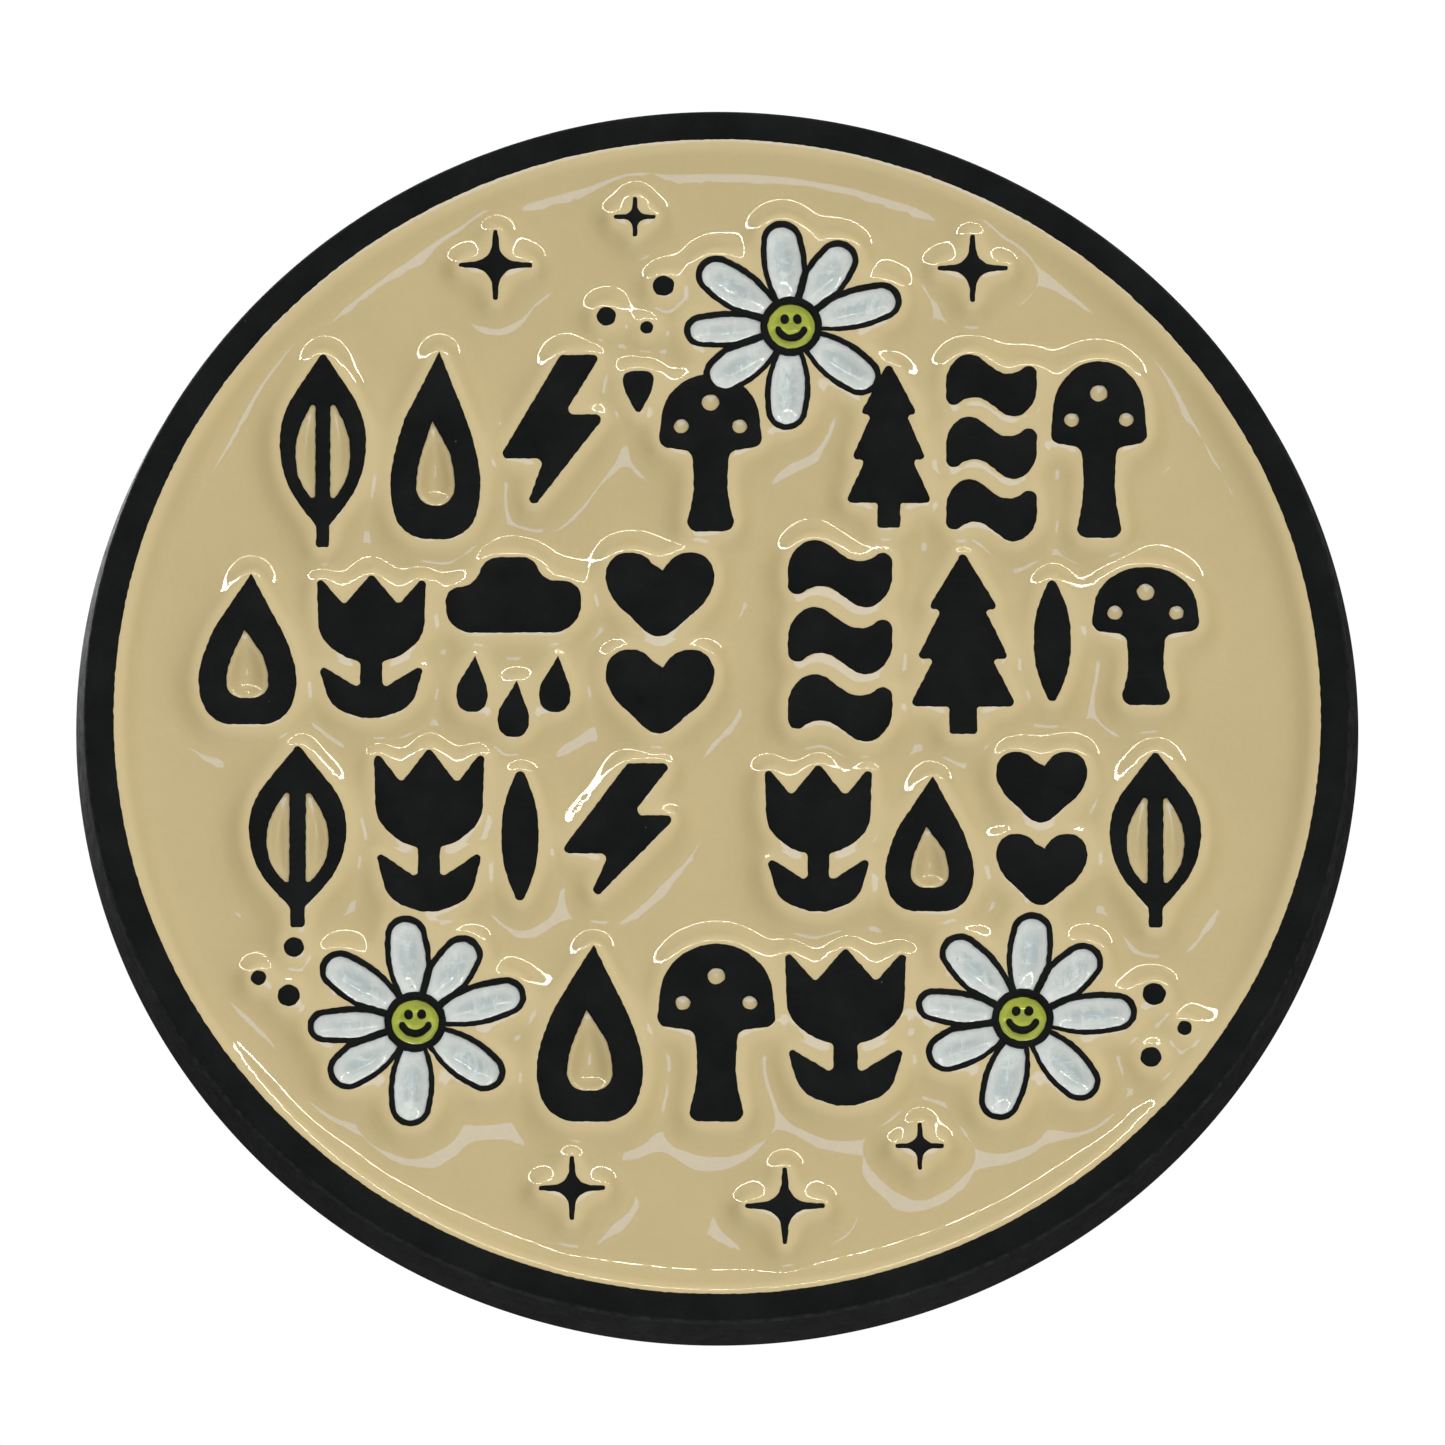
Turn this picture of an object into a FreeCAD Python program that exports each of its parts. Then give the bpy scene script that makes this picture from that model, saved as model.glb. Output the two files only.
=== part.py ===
import FreeCAD, Part
import math
import os

# Round soft-enamel lapel pin, 38 mm across, in millimetres.
# Frame: +Z is the top of the design, the enamelled face looks along -Y, and the origin is the centre of the
# plane on which the back's raised border bears on the cloth. The posts point along +Y.
# A struck metal plate carries a rim and raised shapes; the pools between them are filled with enamel.
# Two posts are soldered to its back, and a butterfly clutch slides on each.

V = FreeCAD.Vector
Y_AXIS = V(0, 1, 0)

# Plate
PLATE_RADIUS = 19.05
PLATE_THICKNESS = 1.8
EDGE_DRAFT = 0.2          # the wall leans in by this much from back to front
FRONT_EDGE_RADIUS = 0.25
BACK_EDGE_RADIUS = 0.2
RIM_WIDTH = 0.93           # from the wall's front edge to the enamel
POOL_DEPTH = 0.6
ENAMEL_DROP = 0.4          # enamel lies this far below the raised metal
LINE_WIDTH = 0.16          # thin raised lines
BACK_BORDER_WIDTH = 1.2
BACK_RECESS = 0.15

# Daisies
CENTRE_RADIUS = 0.73
EYE_RADIUS = 0.1
EYE_SPACING = 0.38
EYE_HEIGHT = 0.24
SMILE_RADIUS = 0.43
SMILE_HEIGHT = 0.08
SMILE_WIDTH = 0.13
# (direction, reach, half width) of each petal, uneven as if drawn by hand
PETALS = ((96.0, 3.3, 0.6), (56.0, 3.1, 0.59), (16.0, 3.4, 0.58), (-37.0, 3.2, 0.6), (-93.0, 3.25, 0.6),
          (-143.0, 3.1, 0.6), (-177.0, 3.2, 0.48), (144.5, 3.35, 0.6))
# (x, z, turn) of each daisy
DAISIES = {"top": (2.2, 12.1, 0.0), "left": (-8.95, -9.5, 0.0), "right": (9.05, -9.4, -12.0)}

# Posts and their solder
POST_SPACING = 18.0
POST_HEIGHT = 3.0          # above the plate's centre, so that the pin doesn't nod forward
POST_RADIUS = 0.575
POST_LENGTH = 8.5
POST_POINT_LENGTH = 1.2
POST_POINT_RADIUS = 0.12
NOTCH_RADIUS = 0.43
NOTCH_WIDTH = 0.5
NOTCH_CHAMFER = 0.1
NOTCH_PLACE = 5.7          # where the clutch's spring snaps in
PAD_RADIUS = 2.0
PAD_THICKNESS = 0.45
SOLDER_SPREAD = 0.45
SOLDER_HEIGHT = 0.32

# Butterfly clutches
SHEET = 0.35
DISH_RADIUS = 5.6
DISH_ROLL_SPACE = 0.25      # inner radius of the rolled rim
DISH_LIP = 0.4             # how far the lip runs in past the roll's centre
FUNNEL_RADIUS = 1.7
FUNNEL_RISE = 0.7
GUIDE_CLEARANCE = 0.175    # between a post and the holes that guide it
BRIDGE_HALF_WIDTH = 2.35
BRIDGE_HALF_SPAN = 3.85
BRIDGE_TOP = 2.77
BRIDGE_BEND = 0.25         # inside radius of the strap's bends
BEAD_RADIUS = 0.25         # rolled edge on which a wing rocks
BEAD_CLEARANCE = 0.05
WING_HALF_WIDTH = 2.3
WING_TIP_HALF_WIDTH = 2.75
WING_CORNER = 1.1
WING_RISE_ANGLE = 66.0
SPRING_WIRE_RADIUS = 0.225
SPRING_LEG_HALF_LENGTH = 2.3
SPRING_GAP = 0.02          # between the spring and what it rests on
FINGER_WIDTH = 0.8
FINGER_INNER_EDGE = 1.1
FINGER_GAP = 0.06          # from the clutch's middle to a wing
FINGER_CLEARANCE = 0.04     # from a finger to the spring outside it
FINGER_FOOT = 1.2

FRONT_Y = -PLATE_THICKNESS
POOL_FLOOR_Y = FRONT_Y + POOL_DEPTH
ENAMEL_TOP_Y = FRONT_Y + ENAMEL_DROP
RIM_INNER_RADIUS = PLATE_RADIUS - EDGE_DRAFT - RIM_WIDTH
GUIDE_RADIUS = POST_RADIUS + GUIDE_CLEARANCE
DISH_ROLL = DISH_ROLL_SPACE + SHEET
SPRING_Y = FUNNEL_RISE + SHEET + SPRING_WIRE_RADIUS + SPRING_GAP
CLUTCH_Y = NOTCH_PLACE - SPRING_Y  # the clutch's front, with the cloth between it and the plate


# ---- outlines on the face: x across, z up ----------------------------------------------------------

def rounded(points, y=FRONT_Y):
    """Closed wire through the corners (x, z) or (x, z, radius). A corner with no radius is as round as its two
    edges allow, so a loop of such corners is a smooth curve of tangent arcs."""
    edges, starts, ends = [], [], []
    count = len(points)
    for i in range(count):
        here = V(points[i][0], y, points[i][1])
        before = V(points[i - 1][0], y, points[i - 1][1]) - here
        after = V(points[(i + 1) % count][0], y, points[(i + 1) % count][1]) - here
        room = min(before.Length, after.Length) / 2
        half = before.getAngle(after) / 2
        asked = points[i][2] / math.tan(half) if len(points[i]) > 2 else room
        reach = min(room, asked)
        radius = reach * math.tan(half)
        before.normalize()
        after.normalize()
        inward = before + after
        inward.normalize()
        start, end = here + before * reach, here + after * reach
        middle = here + inward * (radius / math.sin(half) - radius)
        starts.append(start)
        ends.append(end)
        edges.append(Part.Arc(start, middle, end).toShape())
    path = []
    for i in range(count):
        path.append(edges[i])
        following = starts[(i + 1) % count]
        if ends[i].distanceToPoint(following) > 1e-5:
            path.append(Part.LineSegment(ends[i], following).toShape())
    return Part.Wire(path)


def disc(x, z, radius, y=FRONT_Y):
    return Part.Face(Part.Wire(Part.makeCircle(radius, V(x, y, z), Y_AXIS)))


def blob(box, outline, holes=()):
    """Face with the outline, less its holes. Corners run from -1 to 1 over the box (x, z, half width, half height),
    while radii stay in millimetres."""
    x, z, a, b = box

    def placed(corners):
        return Part.Face(rounded([(x + a * c[0], z + b * c[1], *c[2:]) for c in corners]))

    face = placed(outline)
    return face.cut([placed(h) for h in holes]) if holes else face


def mirrored(right_side):
    """A symmetrical outline, from the corners of its right side, read from the top down."""
    left = [(-c[0], *c[1:]) for c in reversed(right_side) if abs(c[0]) > 1e-9]
    return list(right_side) + left


def leaf(box):
    half = mirrored([(0, 1, 0.12), (1, 0.3), (0.85, -0.35), (0.14, -0.78, 0.2), (0.14, -1, 0.1)])
    slot = [(0.16, 0.55, 0.08), (0.62, 0.12), (0.55, -0.3), (0.16, -0.55, 0.08)]
    return [blob(box, half, [slot, [(-c[0], *c[1:]) for c in slot]])]


def seed(box):
    return [blob(box, mirrored([(0, 1, 0.15), (1, 0.4), (1, -0.4), (0, -1, 0.15)]))]


def drop(box):
    outer = mirrored([(0, 1, 0.12), (0.8, 0.02), (1, -0.5), (0.7, -1)])
    inner = mirrored([(0, 0.3, 0.1), (0.4, -0.28), (0.4, -0.66)])
    return [blob(box, outer, [inner])]


def solid_drop(box):
    return [blob(box, mirrored([(0, -1, 0.1), (0.85, 0.1), (1, 1)]))]


def bolt(box):
    return [blob(box, [(0.15, 1, 0.14), (-1, -0.22, 0.16), (-0.16, -0.22, 0.16), (-0.6, -1, 0.14),
                       (1, 0.3, 0.16), (0.22, 0.3, 0.16), (0.9, 1, 0.14)])]


def mushroom(box):
    x, z, a, b = box
    outline = mirrored([(0.35, 1), (0.9, 0.7), (1, 0.08, 0.3), (0.36, 0.02, 0.3), (0.3, -0.5), (0.5, -1, 0.3)])
    face = blob(box, outline)
    spots = [(0, 0.64, 0.26), (-0.56, 0.34, 0.22), (0.56, 0.34, 0.22)]
    return [face.cut([disc(x + a * s[0], z + b * s[1], s[2]) for s in spots])]


def tree(box):
    return [blob(box, mirrored([(0, 1, 0.12), (0.66, 0.36, 0.12), (0.4, 0.36, 0.1), (0.86, -0.18, 0.12),
                                (0.54, -0.18, 0.1), (1, -0.7, 0.14), (0.26, -0.7, 0.1), (0.26, -1, 0.1)]))]


def waves(box):
    ribbons = []
    for middle in (0.72, 0.0, -0.72):
        upper = [(-1, middle + 0.2), (-0.5, middle + 0.42), (0.4, middle + 0.06), (1, middle + 0.34)]
        lower = [(1, middle - 0.2), (0.5, middle - 0.42), (-0.4, middle - 0.06), (-1, middle - 0.34)]
        ribbons.append(blob(box, upper + lower))
    return ribbons


def tulip(box):
    return [blob(box, mirrored([(0, 1, 0.12), (0.5, 0.56, 0.12), (1, 1, 0.12), (0.96, 0.1), (0.5, -0.16),
                                (0.2, -0.22, 0.14), (0.2, -0.6, 0.12), (0.98, -0.24, 0.12), (0.74, -0.86),
                                (0.16, -1, 0.16)]))]


def cloud(box):
    x, z, a, b = box
    puffs = [(-0.95, 0.16), (-1, 0.66), (-0.56, 0.68), (-0.42, 1), (0.3, 1), (0.42, 0.74), (1, 0.74), (0.95, 0.16)]
    pieces = [blob(box, puffs)]
    for across, fall in ((-0.6, -0.36), (0.0, -0.64), (0.6, -0.36)):
        pieces.append(blob((x + a * across, z + b * fall, 0.25 * a, 0.36 * b),
                           mirrored([(0, 1, 0.1), (1, -0.4), (0.7, -1)])))
    return pieces


def hearts(box):
    x, z, a, b = box
    heart = mirrored([(0, 0.5, 0.1), (0.28, 1), (0.8, 1), (1, 0.45), (0.8, -0.2), (0, -1, 0.12)])
    return [blob((x, z + 0.52 * b * side, a, 0.46 * b), heart) for side in (1, -1)]


# Four rows of shapes: each is (outline, left, right, low, high).
ROWS = (
    (leaf, -13.1, -10.35, 5.2, 11.3), (drop, -9.8, -6.95, 5.45, 11.6), (bolt, -6.5, -3.3, 5.9, 11.2),
    (solid_drop, -2.85, -1.85, 9.3, 10.7), (mushroom, -1.75, 1.35, 5.7, 10.6), (tree, 3.8, 6.4, 5.8, 11.0),
    (waves, 6.8, 9.5, 5.6, 11.0), (mushroom, 9.9, 12.8, 5.5, 11.0),
    (drop, -15.5, -12.4, -0.3, 4.6), (tulip, -11.9, -8.65, -0.1, 4.4), (cloud, -8.1, -4.0, -0.7, 4.9),
    (hearts, -3.4, 0.0, -0.7, 5.1), (waves, 2.1, 5.2, -0.6, 5.2), (tree, 5.7, 8.9, -0.6, 5.1),
    (seed, 9.4, 10.5, 0.2, 4.4), (mushroom, 11.1, 14.35, 0.3, 4.6),
    (leaf, -14.0, -10.9, -6.6, -0.9), (tulip, -10.2, -6.9, -6.1, -1.0), (seed, -6.4, -5.3, -6.0, -1.5),
    (bolt, -4.7, -1.15, -6.1, -1.5), (tulip, 1.4, 4.6, -6.1, -1.5), (drop, 4.9, 7.7, -6.1, -1.7),
    (hearts, 8.2, 11.05, -6.0, -1.1), (leaf, 11.55, 14.45, -6.6, -1.1),
    (drop, -5.45, -2.1, -12.6, -6.9), (mushroom, -1.8, 1.75, -12.6, -7.1), (tulip, 2.0, 5.6, -12.1, -7.2),
)

# Sparkles are (x, z, reach), dots are (x, z, radius).
SPARKLES = ((-6.6, 14.0, 1.1), (-2.45, 15.5, 0.62), (7.6, 13.9, 1.05), (-4.3, -14.65, 0.98), (2.0, -15.2, 1.18),
            (6.0, -13.35, 0.72))
DOTS = ((-1.6, 13.35, 0.32), (-3.3, 12.4, 0.29), (-2.1, 12.05, 0.2), (-12.55, -7.2, 0.3), (-13.6, -8.15, 0.23),
        (-12.7, -8.7, 0.33), (12.95, -8.65, 0.34), (13.85, -9.7, 0.22), (12.85, -10.6, 0.31))
SPARKLE_WAIST = 0.13       # of the sparkle's reach
SPARKLE_TIP_HALF_WIDTH = 0.065


def sparkle(x, z, reach):
    waist, tip = SPARKLE_WAIST * reach, SPARKLE_TIP_HALF_WIDTH
    corners = []
    for turn in range(4):
        c, s = round(math.cos(turn * math.pi / 2)), round(math.sin(turn * math.pi / 2))
        corners.append((x + reach * c + tip * s, z + reach * s - tip * c, 0.9 * tip))
        corners.append((x + reach * c - tip * s, z + reach * s + tip * c, 0.9 * tip))
        corners.append((x + waist * (c - s), z + waist * (s + c)))
    return Part.Face(rounded(corners))


def petal(daisy, number, grow):
    """One petal's outline, grown all round by grow."""
    x, z, turn = daisy
    direction, reach, wide = PETALS[number]
    angle = math.radians(direction + turn)
    start, tip = 0.55 * CENTRE_RADIUS - grow, reach - LINE_WIDTH + grow
    wide += grow
    belly = start + 0.66 * (tip - start)
    right = [(start, 0.25 * wide), (belly - 0.5, wide), (tip, 0.7 * wide)]
    corners = right + [(c[0], -c[1]) for c in reversed(right)]
    c, s = math.cos(angle), math.sin(angle)
    return Part.Face(rounded([(x + p[0] * c - p[1] * s, z + p[0] * s + p[1] * c) for p in corners]))


def petal_sector(daisy, number):
    """The sector in which a petal's enamel lies, so that a raised line is left between it and its neighbours."""
    x, z, turn = daisy
    here, after = PETALS[number][0], PETALS[(number + 1) % len(PETALS)][0]
    high = (here + ((PETALS[number - 1][0] - here) % 360) / 2 + turn)
    low = (here - ((here - after) % 360) / 2 + turn)
    middle, half = math.radians((high + low) / 2), math.radians((high - low) / 2)
    away = LINE_WIDTH / 2 / math.sin(half)
    apex = V(x + away * math.cos(middle), FRONT_Y, z + away * math.sin(middle))
    ends = [apex + V(math.cos(middle + t), 0, math.sin(middle + t)) * 6 for t in (half, -half)]
    return Part.Face(Part.makePolygon([apex, *ends, apex]))


def smile(x, z):
    """A short arc of line with round ends, below the daisy's eyes."""
    outer, inner = SMILE_RADIUS + SMILE_WIDTH / 2, SMILE_RADIUS - SMILE_WIDTH / 2
    left, low, right = (math.radians(a) for a in (-155, -90, -25))

    def at(radius, angle):
        return V(x + radius * math.cos(angle), FRONT_Y, z + radius * math.sin(angle))

    def end_cap(angle, side):
        middle = at(SMILE_RADIUS, angle) + V(-math.sin(angle), 0, math.cos(angle)) * side * SMILE_WIDTH / 2
        return Part.Arc(at(outer, angle), middle, at(inner, angle)).toShape()

    arcs = [Part.Arc(at(outer, left), at(outer, low), at(outer, right)).toShape(), end_cap(right, 1),
            Part.Arc(at(inner, right), at(inner, low), at(inner, left)).toShape(), end_cap(left, -1)]
    return Part.Face(Part.Wire(Part.__sortEdges__(arcs)))


def pool(face):
    """The enamel that fills a face's pool, from its floor to just below the metal."""
    return face.extrude(V(0, POOL_DEPTH, 0)).common(
        Part.makeCylinder(2 * PLATE_RADIUS, POOL_FLOOR_Y - ENAMEL_TOP_Y, V(0, ENAMEL_TOP_Y, 0), Y_AXIS))


def recess(face):
    return face.extrude(V(0, POOL_DEPTH, 0))


# ---- turned shapes and bent sheet ------------------------------------------------------------------

def turned(points, centre=V(0, 0, 0)):
    """Solid of revolution about the Y axis through centre. Points are (radius, y), and a point with a third
    value 'arc' is the middle of an arc between its neighbours."""
    loop = points + [points[0]]
    edges = []
    i = 0
    while i < len(points):
        here = V(loop[i][0], loop[i][1], 0)
        if i + 2 < len(loop) and len(loop[i + 1]) > 2:
            through, there = V(loop[i + 1][0], loop[i + 1][1], 0), V(loop[i + 2][0], loop[i + 2][1], 0)
            edges.append(Part.Arc(here, through, there).toShape())
            i += 2
        else:
            edges.append(Part.LineSegment(here, V(loop[i + 1][0], loop[i + 1][1], 0)).toShape())
            i += 1
    solid = Part.Face(Part.Wire(edges)).revolve(V(0, 0, 0), Y_AXIS, 360)
    solid.translate(centre)
    return solid


def on_arc(centre, radius, degrees):
    return (centre[0] + radius * math.cos(math.radians(degrees)),
            centre[1] + radius * math.sin(math.radians(degrees)))


def bent_sheet(start, heading, bends, thickness, half_width):
    """Sheet bent along a path in the x-y plane. A bend is (length,) for a flat or (radius, degrees) for a turn, with
    positive degrees turning left. The sheet reaches half_width to each side of z = 0."""
    sides = {1: [], -1: []}
    x, y = start
    angle = math.radians(heading)

    def offset(px, py, a, side):
        return V(px - side * math.sin(a) * thickness / 2, py + side * math.cos(a) * thickness / 2, -half_width)

    for bend in bends:
        if len(bend) == 1:
            nx, ny = x + bend[0] * math.cos(angle), y + bend[0] * math.sin(angle)
            for side in sides:
                sides[side].append(Part.LineSegment(offset(x, y, angle, side), offset(nx, ny, angle, side)).toShape())
            x, y = nx, ny
            continue
        radius, turn = bend[0], math.radians(bend[1])
        way = 1 if turn > 0 else -1
        cx, cy = x - way * radius * math.sin(angle), y + way * radius * math.cos(angle)
        places = [(cx + way * radius * math.sin(angle + t), cy - way * radius * math.cos(angle + t), angle + t)
                  for t in (0, turn / 2, turn)]
        for side in sides:
            sides[side].append(Part.Arc(*[offset(*p, side) for p in places]).toShape())
        x, y, angle = places[2]
    ends = [Part.LineSegment(sides[1][k].Vertexes[0 if k == 0 else -1].Point,
                             sides[-1][k].Vertexes[0 if k == 0 else -1].Point).toShape() for k in (0, -1)]
    wire = Part.Wire(Part.__sortEdges__(sides[1] + sides[-1] + ends))
    return Part.Face(wire).extrude(V(0, 0, 2 * half_width)), (x, y)


def box_between(low, high):
    return Part.makeBox(*[h - l for l, h in zip(low, high)], V(*low))


# ---- the pieces ------------------------------------------------------------------------------------

def make_face():
    """{node: shape} for the struck plate and each pool of enamel."""
    nodes = {}
    metal = []
    for outline, left, right, low, high in ROWS:
        metal += outline(((left + right) / 2, (low + high) / 2, (right - left) / 2, (high - low) / 2))
    metal += [sparkle(*s) for s in SPARKLES] + [disc(*d) for d in DOTS]
    recesses = []
    for name, daisy in DAISIES.items():
        x, z, _ = daisy
        ring = disc(x, z, CENTRE_RADIUS + LINE_WIDTH)
        metal.append(ring)
        for number in range(len(PETALS)):
            metal.append(petal(daisy, number, LINE_WIDTH))
            inside = petal(daisy, number, 0).common(petal_sector(daisy, number)).cut(ring)
            nodes[f"{name}_daisy_petal_{number + 1}"] = pool(inside)
            recesses.append(recess(inside))
        eyes = [disc(x + side * EYE_SPACING / 2, z + EYE_HEIGHT, EYE_RADIUS) for side in (-1, 1)]
        inside = disc(x, z, CENTRE_RADIUS).cut(eyes + [smile(x, z + SMILE_HEIGHT)])
        nodes[f"{name}_daisy_centre"] = pool(inside)
        recesses.append(recess(inside))
    field = recess(disc(0, 0, RIM_INNER_RADIUS)).cut([recess(f) for f in metal])
    ground = pool(disc(0, 0, RIM_INNER_RADIUS)).cut([recess(f) for f in metal])
    pools = sorted(ground.Solids, key=lambda s: s.Volume, reverse=True)
    nodes["cream_enamel_field"] = pools[0]
    nodes["cream_enamel_islands"] = Part.makeCompound(pools[1:])
    nodes["struck_plate"] = plate_blank().cut([field] + recesses)
    return nodes


def plate_blank():
    """The plate before its face is struck: a disc with a drafted wall, rounded edges and a recessed back."""
    r, f, b = PLATE_RADIUS, FRONT_EDGE_RADIUS, BACK_EDGE_RADIUS
    front_r = r - EDGE_DRAFT
    diagonal = 1 - math.sqrt(0.5)
    inner = r - BACK_BORDER_WIDTH
    return turned([
        (0, FRONT_Y), (front_r - f, FRONT_Y), (front_r - f * diagonal, FRONT_Y + f * diagonal, "arc"),
        (front_r, FRONT_Y + f), (r, -b), (r - b * diagonal, -b * diagonal, "arc"), (r - b, 0), (inner, 0),
        (inner, -BACK_RECESS), (0, -BACK_RECESS)])


def make_post():
    """Nail-shaped post with a pad and a notch, on the Y axis."""
    points = [(0, -BACK_RECESS), (PAD_RADIUS, -BACK_RECESS), (PAD_RADIUS, PAD_THICKNESS - BACK_RECESS),
              (POST_RADIUS, PAD_THICKNESS - BACK_RECESS)]
    near, far = NOTCH_PLACE - NOTCH_WIDTH / 2, NOTCH_PLACE + NOTCH_WIDTH / 2
    points += [(POST_RADIUS, near - NOTCH_CHAMFER), (NOTCH_RADIUS, near), (NOTCH_RADIUS, far),
               (POST_RADIUS, far + NOTCH_CHAMFER)]
    points += [(POST_RADIUS, POST_LENGTH - POST_POINT_LENGTH), (POST_POINT_RADIUS, POST_LENGTH), (0, POST_LENGTH)]
    return turned(points)


def make_solder():
    """Fillet of solder round a post's pad."""
    inner, outer = PAD_RADIUS, PAD_RADIUS + SOLDER_SPREAD
    foot, top = -BACK_RECESS, -BACK_RECESS + SOLDER_HEIGHT
    return turned([(inner, foot), (outer, foot), (inner + 0.3 * SOLDER_SPREAD, foot + 0.3 * SOLDER_HEIGHT),
                   (inner, top)])


def make_dish():
    """Clutch base: a round dish with a funnelled hole and a rolled rim whose lip holds the bridge's feet."""
    centre = (DISH_RADIUS - DISH_ROLL, DISH_ROLL)
    inner_roll = DISH_ROLL - SHEET
    return turned([
        (GUIDE_RADIUS, FUNNEL_RISE), (FUNNEL_RADIUS, 0), (centre[0], 0),
        (*on_arc(centre, DISH_ROLL, 0), "arc"), (centre[0], 2 * DISH_ROLL), (centre[0] - DISH_LIP, 2 * DISH_ROLL),
        (centre[0] - DISH_LIP, 2 * DISH_ROLL - SHEET), (centre[0], 2 * DISH_ROLL - SHEET),
        (*on_arc(centre, inner_roll, 0), "arc"), (centre[0], SHEET), (FUNNEL_RADIUS, SHEET),
        (GUIDE_RADIUS, FUNNEL_RISE + SHEET)])


BEAD_X = BRIDGE_HALF_WIDTH + BEAD_RADIUS
BEAD_Y = BRIDGE_TOP - SHEET / 2
WING_PLATE_TOP = BEAD_Y - BEAD_RADIUS - BEAD_CLEARANCE


def make_bridge():
    """Clutch bridge: a strap over the dish, with feet under the dish's lip and a rolled bead along each side."""
    foot_end = DISH_RADIUS - DISH_ROLL
    bend = BRIDGE_BEND + SHEET / 2
    foot = foot_end - BRIDGE_HALF_SPAN + SHEET / 2 - bend
    rise = BRIDGE_TOP - 2 * SHEET - 2 * bend
    half_top = BRIDGE_HALF_SPAN - SHEET / 2 - bend
    bends = [(foot,), (bend, -90.0), (rise,), (bend, 90.0), (2 * half_top,), (bend, 90.0), (rise,), (bend, -90.0),
             (foot,)]
    strap, _ = bent_sheet((foot_end, 1.5 * SHEET), 180.0, bends, SHEET, BRIDGE_HALF_WIDTH)
    strap.rotate(V(0, 0, 0), Y_AXIS, 90)
    strap = strap.common(Part.makeCylinder(foot_end, BRIDGE_TOP, V(0, 0, 0), Y_AXIS))
    side_parts = []
    for side in (-1, 1):
        low, high = sorted((side * 0.9 * BRIDGE_HALF_WIDTH, side * BEAD_X))
        side_parts.append(box_between((low, BRIDGE_TOP - SHEET, -WING_HALF_WIDTH), (high, BRIDGE_TOP, WING_HALF_WIDTH)))
        side_parts.append(Part.makeCylinder(BEAD_RADIUS, 2 * WING_HALF_WIDTH,
                                            V(side * BEAD_X, BEAD_Y, -WING_HALF_WIDTH), V(0, 0, 1)))
    hole = Part.makeCylinder(GUIDE_RADIUS + 0.1, BRIDGE_TOP, V(0, SHEET, 0), Y_AXIS)
    return strap.fuse(side_parts).cut(hole).removeSplitter()


def make_spring():
    """Clutch spring: a U of wire whose legs lie in the post's notch."""
    # the legs clear both the notch's floor and the wings' fingers
    leg_x = SPRING_WIRE_RADIUS + max(NOTCH_RADIUS + SPRING_GAP, FINGER_GAP + SHEET + FINGER_CLEARANCE)
    y = SPRING_Y
    half = SPRING_LEG_HALF_LENGTH
    path = Part.Wire([
        Part.LineSegment(V(-leg_x, y, -half), V(-leg_x, y, half)).toShape(),
        Part.Arc(V(-leg_x, y, half), V(0, y, half + leg_x), V(leg_x, y, half)).toShape(),
        Part.LineSegment(V(leg_x, y, half), V(leg_x, y, -half)).toShape()])
    section = Part.Wire(Part.makeCircle(SPRING_WIRE_RADIUS, V(-leg_x, y, -half), V(0, 0, 1)))
    return path.makePipeShell([section], True, True)


def make_wing():
    """Right-hand clutch wing: a plate under the bridge, fingers inside the spring, and a lever that bends up round
    the bridge's bead and flares outwards."""
    bend_radius = BEAD_RADIUS + BEAD_CLEARANCE + SHEET / 2
    plate_y = WING_PLATE_TOP - SHEET / 2
    bends = [(BEAD_X - FINGER_GAP,), (bend_radius, WING_RISE_ANGLE), (1.25,), (1.5, -52.0), (1.1,), (0.9, 62.0), (0.25,)]
    lever, tip = bent_sheet((FINGER_GAP, plate_y), 0.0, bends, SHEET, WING_TIP_HALF_WIDTH)
    # seen from the side, the lever widens as it rises and its end has round corners
    top = tip[1] + 0.2
    low, high = WING_PLATE_TOP + 0.8, WING_PLATE_TOP + 2.0
    near, far = WING_HALF_WIDTH, WING_TIP_HALF_WIDTH
    outline = Part.Face(rounded([
        (0, -near, 0.1), (low, -near, 0.5), (high, -far, 0.5), (top, -far, WING_CORNER), (top, far, WING_CORNER),
        (high, far, 0.5), (low, near, 0.5), (0, near, 0.1)], 0))
    outline.rotate(V(0, 0, 0), V(0, 0, 1), 90)
    lever = lever.common(outline.extrude(V(3 * BEAD_X, 0, 0)))
    fingers = []
    for side in (-1, 1):
        near, far = sorted((side * FINGER_INNER_EDGE, side * (FINGER_INNER_EDGE + FINGER_WIDTH)))
        fingers.append(box_between((FINGER_GAP, FINGER_FOOT, near), (FINGER_GAP + SHEET, WING_PLATE_TOP, far)))
    notch = Part.makeCylinder(GUIDE_RADIUS + 0.25, BRIDGE_TOP, V(0, 0, 0), Y_AXIS)
    return lever.fuse(fingers).cut(notch).removeSplitter()


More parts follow.
